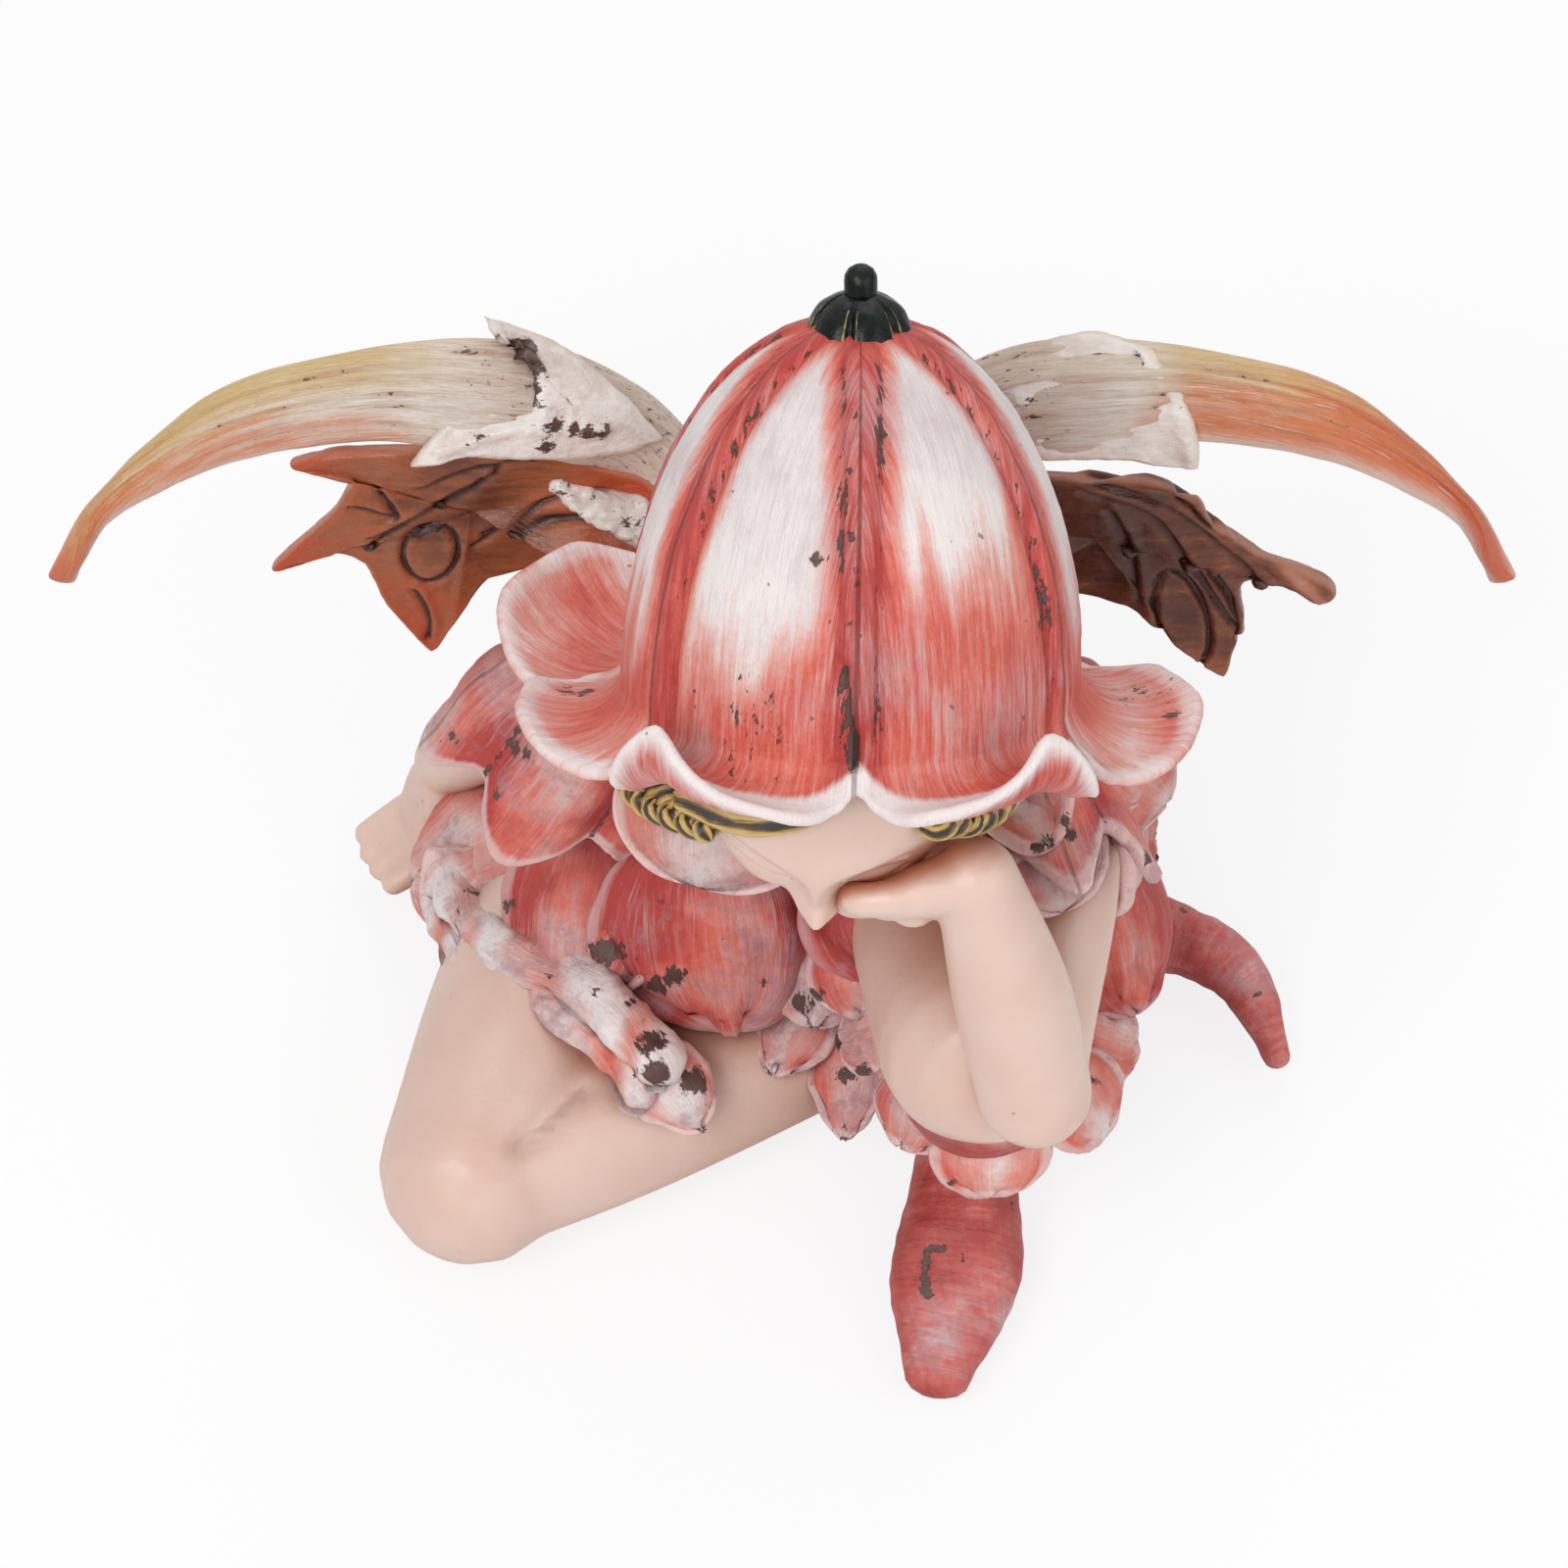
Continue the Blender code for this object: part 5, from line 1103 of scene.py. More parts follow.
def fore_wing(seed):
    """A long wing blade between two edges, thick at the root, domed and grooved above."""
    steps = 200
    front = spline(FORE_FRONT, steps)
    back = spline(FORE_BACK, steps)
    middle = 0.5 * (front + back)
    across = 0.5 * (back - front)
    ahead = np.gradient(middle, axis=0)
    normal = units(np.cross(across, ahead))
    normal *= np.sign(normal[:, 2:3])
    s = np.linspace(0, 1, steps)
    root = np.clip(1 - 3.2 * s, 0, 1)
    thick = 0.5 * (WING_THICKNESS + (WING_ROOT_THICKNESS - WING_THICKNESS) * root)
    thick *= 1 - 0.2 * s ** 4
    dome = WING_BULGE * np.sin(math.pi * np.clip(0.08 + s * 0.92, 0, 1)) ** 0.5
    turns = circle(128, 0.5)
    x = np.cos(turns)[None, :]
    side = np.sign(np.sin(turns)) * np.abs(np.sin(turns)) ** 0.6
    s = s[:, None]
    groove = np.zeros((steps, len(turns)))
    fleck = np.zeros_like(groove)
    for place, start, end, depth in FORE_GROOVES:
        reach = ease(s, start, start + 0.12) * (1 - ease(s, end - 0.2, end))
        off = x - place - 0.10 * (s - 0.4) - 0.03 * np.sin(9 * s + 7 * place)
        groove += reach * depth * (bell(off, 0.05) - 0.6 * bell(off - 0.11, 0.06))
        fleck = np.maximum(fleck, reach * bell(off, 0.06))
    upper = (side > 0.2)[None, :]
    y = thick[:, None] * side + dome[:, None] * (1 - x ** 2) - groove * upper
    lip = 0.5 * np.exp(-((1 + x) / 0.09)) * ease(s, 0.1, 0.3)
    y = y - lip
    points = middle[:, None] + x[..., None] * across[:, None] + y[..., None] * normal[:, None]
    half = np.linalg.norm(across, axis=1)[:, None]
    flow = triple(x * half, run_of(middle)[:, None], seed)
    front_edge = np.exp(-((1 + x) * half / 1.5))
    rim = np.maximum(front_edge, 0.6 * np.exp(-((1 - x) * half / 0.7)))
    fleck = fleck * np.clip(0.6 + 1.2 * wobble(points, 4, 6), 0, 1)
    specks = np.maximum(0.42 * fleck * (1 - 0.6 * ease(s, 0.5, 0.8)),
                        0.25 * (1 - ease(s, 0.3, 0.5)))
    tip = middle[-1] + unit(ahead[-1]) * 0.9
    return lofted(points, flow, triple(rim, s, specks * upper), None, tip).clay(0.10, 3.0, 23)


def outline_sheet(outline, centre, thick, dome, seed, per_side=20, rings=36):
    """A flat leaf with any outline that can be seen whole from its centre."""
    corners = np.array(outline, float)
    count = len(corners)
    loop = []
    for k in range(count):
        a, b, c, d = (corners[(k + j) % count] for j in (-1, 0, 1, 2))
        for t in np.arange(per_side) / per_side:
            loop.append(0.55 * (b * (1 - t) + c * t) + 0.45 * curve_point(a, b, c, d, t))
    loop = np.array(loop)
    centre = vec(*centre)
    spans = loop - centre
    normal = unit(np.cross(spans, np.roll(spans, -1, axis=0)).sum(axis=0))
    normal = normal if normal[1] < 0 or normal[2] > 0.8 else -normal
    loops = []
    mask = []
    flow = []
    scales = np.sin(np.linspace(0.03, 0.5 * math.pi, rings + 1))[:-1]
    sides = [(s, 1) for s in scales] + [(1.0, 0)] + [(s, -1) for s in scales[::-1]]
    reach = np.linalg.norm(spans, axis=1)
    for scale, up in sides:
        edge = (1 - scale) * reach
        body = 0.5 * thick * up * np.sqrt(np.clip(1 - np.clip(1 - edge / 0.9, 0, 1) ** 2, 0, 1))
        lift = body + dome * (1 - scale ** 2) + 0.4 * np.exp(-edge / 1.2)
        place = centre + spans * scale
        loops.append(place + np.outer(lift, normal))
        mask.append(triple(np.exp(-edge / 1.1), scale * reach / reach.max(), 0))
        flow.append(triple(place[:, 2], place[:, 0], seed))
    return lofted(loops, flow, mask, centre + normal * (0.5 * thick + dome),
                  centre + normal * (dome - 0.5 * thick))


# Carved lines of the hind wings as x and z: the oval eye (centre, half sizes, lean) and
# the veins, left and right
HIND_EYE_L = ((-35.6, 62.6), 2.7, 4.2, -0.25)
HIND_EYE_R = ((40.6, 53.4), 2.5, 7.0, 0.28)
HIND_VEINS_L = (
    ((-41.2, 65.0), (-31.5, 71.4), (-26.7, 76.9)), ((-42.0, 63.4), (-36.5, 68.2), (-29.6, 73.8)),
    ((-30.1, 65.0), (-24.0, 69.8), (-18.7, 71.4)), ((-31.1, 63.4), (-25.4, 67.8), (-18.7, 69.1)),
    ((-43.1, 69.8), (-38.7, 68.2), (-40.2, 72.2)), ((-35.8, 72.2), (-29.5, 75.4), (-22.8, 76.2)),
    ((-37.5, 57.0), (-36.3, 53.0), (-36.6, 50.0)))
HIND_VEINS_R = (
    ((29.8, 72.3), (36.3, 68.8), (40.7, 61.6), (45.8, 51.9)),
    ((28.9, 74.4), (36.9, 70.9), (44.5, 63.8), (49.9, 56.4)),
    ((32.3, 69.5), (34.6, 63.8), (35.9, 56.4)), ((39.2, 71.6), (43.0, 67.4), (46.6, 65.9)),
    ((43.2, 60.1), (45.5, 55.7), (46.4, 50.1)))
HIND_RIM_R = ((40.1, 75.4), (42.1, 74.0), (46.3, 69.5), (50.6, 61.6), (55.7, 55.7))


def carved_wing(form, eye, veins, depth):
    """Presses an oval eye and long veins into a hind wing, each with a raised lip."""
    (x, z), wide, tall, lean = eye
    turns = np.linspace(0, 2 * math.pi, 40)
    across, up = wide * np.cos(turns), tall * np.sin(turns)
    ring = np.stack([x + across * math.cos(lean) - up * math.sin(lean),
                     z + across * math.sin(lean) + up * math.cos(lean)], axis=1)
    form.carve(ring, 1.0, -0.35 * depth)
    form.carve(ring, 0.38, 1.5 * depth, dark=0.9)
    for vein in veins:
        line = spline(vein, 14)
        form.carve(line + (0.3, 0.8), 0.7, -0.7 * depth)
        form.carve(line, 0.42, 1.3 * depth, dark=0.75)
    return form.clay(0.16, 2.6, 17).clay(0.05, 0.8, 18)


def hind_wings():
    """The two carved lower wings; the right one has a thick rolled upper edge."""
    left = outline_sheet(HIND, HIND_CENTRE, 2.1, 0.6, 81, rings=HIND_RINGS)
    right = outline_sheet(HIND_R, HIND_CENTRE, 2.1, 0.6, 81, rings=HIND_RINGS)
    right = right_side(right, lean=HIND_LEAN_R, shift=HIND_SHIFT_R)
    right.carve(HIND_RIM_R, 1.3, -0.9)
    right.mask[:, 0] = np.maximum(right.mask[:, 0], right.near(HIND_RIM_R, 1.5))
    return (carved_wing(left, HIND_EYE_L, HIND_VEINS_L, 0.42),
            carved_wing(right, HIND_EYE_R, HIND_VEINS_R, 0.6))


def leaves():
    """The pale leaves laid over the roots of the fore wings, torn on the left."""
    left = outline_sheet(LEAF, LEAF_CENTRE, 1.9, 0.8, 82)
    left.carve(seen_at(left, (512, 374), (524, 388)), 1.7, 1.2, dark=1.0)
    left.carve(seen_at(left, (495, 362), (540, 380), (560, 440)), 0.8, -0.6)
    left.carve(seen_at(left, (440, 462), (520, 440), (620, 445)), 0.7, -0.6)
    chipped(left, 0.8, (575, 440), (590, 448), (612, 440), (625, 446), (560, 462), (480, 452))
    right = outline_sheet(LEAF_R, LEAF_CENTRE, 1.9, 0.9, 82)
    right = right_side(right, LEAF_MIRROR_R, shift=LEAF_SHIFT_R)
    right.carve(seen_at(right, (1092, 372), (1130, 375), (1165, 372)), 0.8, 0.8, dark=1.0)
    right.carve(seen_at(right, (1215, 410), (1222, 440), (1228, 470)), 1.2, -0.6)
    chipped(right, 1.0, (1060, 425), (1085, 432), (1120, 428), (1150, 425), (1180, 412))
    return [leaf.clay(0.3, 2.6, 18).clay(0.08, 0.7, 19) for leaf in (left, right)]


def wing_root():
    """A lumpy swelling where the wings grow from the back."""
    root = limb([(-9.0, 1.0, 67.0, 2.6, 1.8), (-16.0, 1.8, 69.4, 2.6, 1.6),
                 (-23.0, 3.0, 72.5, 1.0, 0.8)], 60, 90, seed=84, mask=(0.0, 0.2, 0.2))
    return root.clay(0.8, 2.0, 21).clay(0.25, 0.8, 22)


def right_side(form, mirror=MIRROR_R, lean=0.0, shift=(0, 0, 0)):
    """A left wing's form mirrored to the right, leaned outward below its root and shifted."""
    verts = form.verts * vec(mirror, 1, 1)
    verts[:, 0] += lean * (WING_ROOT_Z - verts[:, 2])
    return Form(verts + vec(*shift), [f[:, ::-1] for f in form.faces], form.flow + vec(0, 0, 5),
                form.mask.copy())


def put(tree, socket, value):
    """Links another node's output to a socket, or gives the socket a fixed value."""
    if isinstance(value, bpy.types.NodeSocket):
        tree.links.new(value, socket)
    else:
        socket.default_value = value


def add_node(tree, kind, *inputs, **settings):
    """A shader node with its settings made and its first inputs linked or filled."""
    node = tree.nodes.new("ShaderNode" + kind)
    for name, value in settings.items():
        setattr(node, name, value)
    for socket, value in zip(node.inputs, inputs):
        put(tree, socket, value)
    return node


class Paint:
    """Builds one painted finish out of shader nodes."""

    def __init__(self, name):
        self.material = bpy.data.materials.new(name)
        self.material.use_nodes = True
        self.tree = self.material.node_tree
        self.shader = self.tree.nodes["Principled BSDF"]

    def node(self, kind, *inputs, **settings):
        return add_node(self.tree, kind, *inputs, **settings)

    def attribute(self, name):
        """A value that the points carry, whole and in its three parts."""
        vector = self.node("Attribute", attribute_name=name).outputs["Vector"]
        return vector, *self.node("SeparateXYZ", vector).outputs

    def place(self):
        """The point of the surface in metres, in the figure's frame."""
        return self.node("TexCoord").outputs["Object"]

    def stretch(self, vector, scale):
        return self.node("VectorMath", vector, scale, operation="MULTIPLY").outputs[0]

    def noise(self, vector, scale, detail=4.0, rough=0.6):
        node = self.node("TexNoise", vector)
        for name, value in (("Scale", scale), ("Detail", detail), ("Roughness", rough)):
            node.inputs[name].default_value = value
        return node.outputs["Fac"]

    def calc(self, operation, a, b, clamp=False):
        return self.node("Math", a, b, operation=operation, use_clamp=clamp).outputs[0]

    def sum(self, *terms):
        """Adds pairs of value and weight."""
        parts = [self.calc("MULTIPLY", value, weight) for value, weight in terms]
        total = parts[0]
        for part in parts[1:]:
            total = self.calc("ADD", total, part)
        return total

    def step(self, value, low, high, to_low=0.0, to_high=1.0):
        """A smooth step from to_low where value is low to to_high where it is high."""
        return self.node("MapRange", value, low, high, to_low, to_high,
                         interpolation_type="SMOOTHSTEP").outputs["Result"]

    def over(self, colour, share, paint, strength=1.0):
        """A paint laid over a colour, as much as share and strength say."""
        if strength != 1.0:
            share = self.calc("MULTIPLY", share, strength)
        node = self.node("Mix", share, data_type="RGBA")
        put(self.tree, node.inputs[6], colour)
        node.inputs[7].default_value = (*paint, 1.0)
        return node.outputs[2]

    def ramp(self, factor, *stops):
        """A colour for each value of factor, from pairs of value and colour."""
        node = self.node("ValToRGB", factor)
        elements = node.color_ramp.elements
        while len(elements) < len(stops):
            elements.new(1.0)
        for element, (place, colour) in zip(elements, stops):
            element.position = place
            element.color = (*colour, 1.0)
        return node.outputs["Color"]

    def hollow(self, reach):
        """How much of the surroundings is shut out, 1 in a crease and 0 in the open: the share of
        painted shade.
        """
        node = self.node("AmbientOcclusion", samples=8)
        node.inputs["Distance"].default_value = reach * MM
        return self.calc("SUBTRACT", 1.0, node.outputs["AO"])

    def finish(self, colour, roughness, height, depth, coat=0.0, subsurface=0.0):
        """Fills the shader; height is the relief in shares of depth, in millimetres."""
        inputs = self.shader.inputs
        put(self.tree, inputs["Base Color"], colour)
        put(self.tree, inputs["Roughness"], roughness)
        if coat:
            inputs["Coat Weight"].default_value = coat
            inputs["Coat Roughness"].default_value = 0.25
        if subsurface:
            inputs["Subsurface Weight"].default_value = subsurface
            inputs["Subsurface Radius"].default_value = (1.0, 0.45, 0.3)
            inputs["Subsurface Scale"].default_value = 2.0 * MM
        relief = self.node("Bump")
        relief.inputs["Distance"].default_value = depth * MM
        put(self.tree, relief.inputs["Height"], height)
        put(self.tree, inputs["Normal"], relief.outputs[0])
        return self.material


# Paint colours, as the light reflects them, with the colours of painted shade among them
DEEP_RED = (0.42, 0.032, 0.026)
CORAL = (0.63, 0.115, 0.078)
PINK = (0.70, 0.31, 0.26)
PALE = (0.80, 0.73, 0.715)
GREY_LILAC = (0.52, 0.43, 0.44)
MAUVE = (0.36, 0.17, 0.19)
BROWN = (0.085, 0.035, 0.027)
CREASE_WASH_AND_SHADE = (0.22, 0.028, 0.028)
GAP_SHADE = (0.055, 0.018, 0.015)
SKIN_LIGHT = (0.71, 0.53, 0.45)
SKIN_TAN = (0.67, 0.46, 0.38)
SKIN_SHADE = (0.46, 0.165, 0.08)
SKIN_CREASE_AIRBRUSH_AND_SHADE = (0.42, 0.14, 0.07)
LIP_RED = (0.62, 0.20, 0.16)
BLUSH = (0.70, 0.30, 0.22)
LASH_AND_GROOVE_SHADE_BROWN = (0.13, 0.055, 0.035)
FRECKLE = (0.25, 0.11, 0.07)
LACQUER_DARK = (0.002, 0.004, 0.003)
LACQUER_LIGHT = (0.010, 0.017, 0.012)
GOLD_LINE = (0.36, 0.28, 0.11)
BOOT_CREASE_SHADE = (0.24, 0.035, 0.035)
OCHRE = (0.60, 0.40, 0.13)
ORANGE = (0.60, 0.17, 0.05)
BURNT_RED = (0.52, 0.07, 0.022)
PEARL = (0.78, 0.70, 0.62)
GROOVE_TAN = (0.44, 0.25, 0.15)
WING_RIM = (0.72, 0.53, 0.45)
WING_UNDER_SHADE = (0.24, 0.07, 0.035)
WING_BARE = (0.16, 0.065, 0.04)
LEAF_RIM = (0.72, 0.57, 0.41)
LEAF_UNDER_SHADE = (0.26, 0.12, 0.10)
BRONZE_PINK = (0.50, 0.22, 0.15)
BRONZE_DARK = (0.040, 0.012, 0.009)
BRONZE_RIM = (0.52, 0.24, 0.17)

# Ramps from dark to light: share and colour
PETAL_STOPS = ((0.0, DEEP_RED), (0.24, CORAL), (0.52, PINK), (0.84, PALE))
HAIR_STOPS = ((0.0, (0.012, 0.008, 0.006)), (0.35, (0.12, 0.06, 0.012)),
              (0.7, (0.38, 0.20, 0.025)), (1.0, (0.60, 0.42, 0.14)))
BOOT_STOPS = ((0.0, (0.34, 0.036, 0.030)), (0.35, (0.50, 0.090, 0.075)),
              (0.65, (0.57, 0.20, 0.18)), (1.0, (0.66, 0.47, 0.47)))
CREAM_STOPS = ((0.3, (0.56, 0.43, 0.33)), (0.48, (0.70, 0.61, 0.53)), (0.6, (0.80, 0.74, 0.70)))
LEAF_STOPS = ((0.35, (0.48, 0.38, 0.35)), (0.52, (0.66, 0.58, 0.53)),
              (0.68, (0.80, 0.75, 0.71)))
BRONZE_STOPS = ((0.0, (0.045, 0.015, 0.010)), (0.22, (0.13, 0.038, 0.018)),
                (0.45, (0.33, 0.095, 0.036)), (0.75, (0.44, 0.050, 0.012)))


def petal_paint(name, streaks, wash, lift, rim_share, smoke_share, blotch=0.5):
    """Coral petals, dry-brushed pale along their length, chipped down to brown."""
    p = Paint(name)
    flow = p.attribute("flow")[0]
    _, rim, pale, worn = p.attribute("mask")
    place = p.place()
    strokes = p.noise(p.stretch(flow, (1.9, 0.11, 1.0)), 1.0, 5.0, 0.62)
    fine = p.noise(p.stretch(flow, (5.5, 0.30, 1.0)), 1.0, 4.0, 0.68)
    cloud = p.noise(place, 120.0)
    broad = p.noise(place, 62.0, 3.0, 0.5)
    grain = p.noise(place, 1500.0, 3.0, 0.75)
    level = p.sum((pale, 0.95), (strokes, streaks), (fine, 0.45 * streaks), (cloud, blotch),
                  (grain, 0.24))
    # half the weights of the noises, whose mean is a half, keeps the level around the pale share
    level = p.calc("SUBTRACT", level, 0.5 * (streaks * 1.45 + blotch + 0.24) - lift)
    colour = p.ramp(level, *PETAL_STOPS)
    grey = p.step(p.sum((broad, 0.9), (fine, 0.5), (strokes, 0.5), (pale, 0.1)), 0.94, 1.22)
    colour = p.over(colour, grey, GREY_LILAC, wash)
    edge = p.step(p.sum((rim, 1.0), (cloud, 0.35), (strokes, 0.3)), 0.72, 1.05)
    colour = p.over(colour, edge, PALE, rim_share)
    # painted shade in creases and under overlapping petals, where the surroundings shut out the
    # light, together with the dark wash that settles there
    colour = p.over(colour, p.step(p.hollow(5.0), 0.2, 0.9), CREASE_WASH_AND_SHADE, 0.85)
    # painted shade, nearly black, in the narrow gaps between parts
    gap_shade = p.step(p.sum((p.hollow(2.5), 1.0), (cloud, 0.3)), 0.72, 0.98)
    colour = p.over(colour, gap_shade, GAP_SHADE, 0.8)
    smoke = p.noise(place, 400.0, 6.0, 0.75)
    haze = p.step(p.sum((smoke, 1.0), (broad, 0.6)), 0.80, 1.02)
    colour = p.over(colour, haze, MAUVE, smoke_share)
    flecks = p.noise(p.stretch(flow, (1.5, 0.5, 1.0)), 1.0, 6.0, 0.72)
    spots = p.step(p.noise(place, 620.0, 2.0, 0.5), 0.745, 0.765)
    torn = p.sum((worn, 1.0), (flecks, 0.92), (grain, 0.14), (broad, 0.12))
    bare = p.calc("MAXIMUM", p.step(torn, 0.965, 0.995), p.calc("MULTIPLY", spots, 0.6))
    colour = p.over(colour, bare, BROWN)
    rough = p.calc("ADD", p.sum((grain, 0.25), (bare, -0.08)), 0.33)
    height = p.sum((strokes, 0.5), (fine, 0.8), (grain, 0.4), (bare, -0.9))
    return p.finish(colour, rough, height, 0.2)


def skin_paint():
    """Waxy flesh: pale where it stands out, darkened with painted shadow under the hat and other
    parts, and with warm airbrush and painted shade where it folds.
    """
    p = Paint("skin_paint")
    _, lips, blush, lashes = p.attribute("mask")
    place = p.place()
    cloud = p.noise(place, 70.0, 4.0, 0.55)
    grain = p.noise(place, 900.0, 3.0)
    colour = p.over((*SKIN_LIGHT, 1.0), p.step(cloud, 0.3, 0.75), SKIN_TAN)
    colour = p.over(colour, p.step(p.hollow(30.0), 0.30, 0.9), SKIN_SHADE, 0.76)
    # warm airbrush in the folds of the skin, with painted shade there
    colour = p.over(colour, p.step(p.hollow(5.0), 0.12, 0.9), SKIN_CREASE_AIRBRUSH_AND_SHADE, 0.9)
    colour = p.over(colour, lips, LIP_RED, 0.45)
    colour = p.over(colour, blush, BLUSH, 0.35)
    # the third mask holds the painted lashes and brows, and also the darkened lines between the
    # fingers and in the fold of the leg, which are painted shade
    colour = p.over(colour, p.step(lashes, 0.15, 0.9), LASH_AND_GROOVE_SHADE_BROWN)
    specks = p.step(p.noise(place, 560.0, 2.0, 0.5), 0.76, 0.79)
    colour = p.over(colour, specks, FRECKLE, 0.6)
    rough = p.step(grain, 0.3, 0.7, 0.33, 0.46)
    return p.finish(colour, rough, p.sum((grain, 1.0), (cloud, 2.0)), 0.05, subsurface=0.12)


def hair_paint():
    """Dark brown hair, gilded on its raised strands."""
    p = Paint("hair_paint")
    ridge = p.attribute("mask")[1]
    cloud = p.noise(p.place(), 260.0)
    strands = p.noise(p.stretch(p.attribute("flow")[0], (4.0, 0.25, 1.0)), 1.0)
    gold = p.step(p.sum((ridge, 0.6), (strands, 0.7), (cloud, 0.6)), 0.68, 1.22)
    height = p.sum((strands, 1.0), (cloud, 0.4))
    return p.finish(p.ramp(gold, *HAIR_STOPS), 0.34, height, 0.2, coat=0.2)


def calyx_paint():
    """Near-black green lacquer with thin gold lines."""
    p = Paint("calyx_paint")
    ridge = p.attribute("mask")[1]
    place = p.place()
    cloud = p.noise(place, 500.0, 5.0, 0.65)
    colour = p.over((*LACQUER_DARK, 1.0), p.step(cloud, 0.35, 0.75), LACQUER_LIGHT)
    worn = p.noise(p.stretch(place, (1.0, 1.0, 0.35)), 900.0, 4.0, 0.7)
    gold = p.step(p.sum((ridge, 1.0), (worn, 0.9)), 0.92, 1.22)
    colour = p.over(colour, gold, GOLD_LINE)
    p.shader.inputs["Specular IOR Level"].default_value = 0.16
    return p.finish(colour, p.step(cloud, 0.3, 0.7, 0.12, 0.26), cloud, 0.16)


def boot_paint():
    """Red boots brushed pale pink round their girth, hazed mauve and scuffed brown."""
    p = Paint("boot_paint")
    flow = p.attribute("flow")[0]
    worn = p.attribute("mask")[3]
    place = p.place()
    strokes = p.noise(p.stretch(flow, (0.22, 1.5, 1.0)), 1.0, 6.0, 0.7)
    lengthways = p.noise(p.stretch(flow, (1.6, 0.12, 1.0)), 1.0)
    cloud = p.noise(place, 95.0)
    grain = p.noise(place, 1500.0, 3.0, 0.75)
    level = p.sum((strokes, 1.0), (cloud, 2.3), (lengthways, 0.3), (grain, 0.4))
    colour = p.ramp(p.step(level, 1.65, 2.85), *BOOT_STOPS)
    smoke = p.noise(place, 400.0, 6.0, 0.75)
    haze = p.step(p.sum((smoke, 1.0), (cloud, 0.6)), 0.78, 1.02)
    colour = p.over(colour, haze, MAUVE, 0.55)
    # painted shade in the creases and where the boots meet other parts
    colour = p.over(colour, p.step(p.hollow(4.0), 0.25, 0.95), BOOT_CREASE_SHADE, 0.75)
    flecks = p.noise(p.stretch(flow, (0.6, 1.3, 1.0)), 1.0, 6.0, 0.72)
    bare = p.step(p.sum((flecks, 0.95), (worn, 1.0), (grain, 0.12)), 0.91, 0.94)
    colour = p.over(colour, bare, BROWN)
    height = p.sum((strokes, 0.7), (lengthways, 0.5), (grain, 0.5), (bare, -0.8))
    return p.finish(colour, p.step(grain, 0.2, 0.8, 0.36, 0.55), height, 0.2)


def fore_wing_paint(name, burnt_shift, rim_share):
    """Pearly cream at the root, ochre along the back edge, orange to the tip and below."""
    p = Paint(name)
    flow, across = p.attribute("flow")[:2]
    _, rim, share, worn = p.attribute("mask")
    place = p.place()
    strokes = p.noise(p.stretch(flow, (1.3, 0.07, 1.0)), 1.0, 5.0)
    fine = p.noise(p.stretch(flow, (4.5, 0.25, 1.0)), 1.0, 4.0, 0.65)
    cloud = p.noise(place, 90.0)
    grain = p.noise(place, 1300.0, 3.0, 0.7)
    colour = p.ramp(p.sum((fine, 0.6), (strokes, 0.4)), *CREAM_STOPS)
    past_leaf = p.step(p.sum((share, 1.0), (cloud, 0.10), (fine, 0.06)), 0.50, 0.56)
    back = p.step(p.sum((across, 0.10), (strokes, 1.0), (share, 0.9)), 0.75, 1.35)
    back = p.calc("MULTIPLY", back, p.sum((past_leaf, 0.55), (share, 0.55)), True)
    colour = p.over(colour, back, OCHRE)
    burnt = p.sum((share, 1.0), (across, -0.05), (strokes, 0.7), (fine, 0.35), (cloud, 0.3))
    burnt = p.step(burnt, 1.25 - burnt_shift, 1.6 - burnt_shift)
    colour = p.over(colour, p.calc("MULTIPLY", burnt, past_leaf), ORANGE, 0.95)
    red = p.step(p.sum((share, 1.0), (strokes, 0.5), (fine, 0.3)), 1.25 - burnt_shift,
                 1.5 - burnt_shift)
    colour = p.over(colour, red, BURNT_RED, 0.8)
    pearl = p.step(p.sum((fine, 1.0), (strokes, 0.6), (share, -0.3)), 0.68, 0.86)
    colour = p.over(colour, pearl, PEARL, 0.6)
    colour = p.over(colour, p.step(worn, 0.04, 0.36), GROOVE_TAN, 0.5)
    edge = p.step(p.sum((rim, 1.0), (cloud, 0.4)), 0.80 - 0.3 * rim_share, 1.15)
    colour = p.over(colour, edge, WING_RIM, rim_share)
    # painted shade under the leaf and where the wing lies close to the body and the other wing
    colour = p.over(colour, p.step(p.hollow(7.0), 0.3, 0.95), WING_UNDER_SHADE, 0.8)
    flecks = p.noise(p.stretch(flow, (1.9, 0.75, 1.0)), 1.0, 6.0, 0.75)
    bare = p.step(p.sum((worn, 0.55), (flecks, 1.0), (grain, 0.14)), 0.80, 0.83)
    colour = p.over(colour, bare, WING_BARE)
    height = p.sum((strokes, 0.9), (fine, 0.9), (grain, 0.3), (bare, -0.6))
    return p.finish(colour, p.step(grain, 0.2, 0.8, 0.26, 0.44), height, 0.34, coat=0.15)


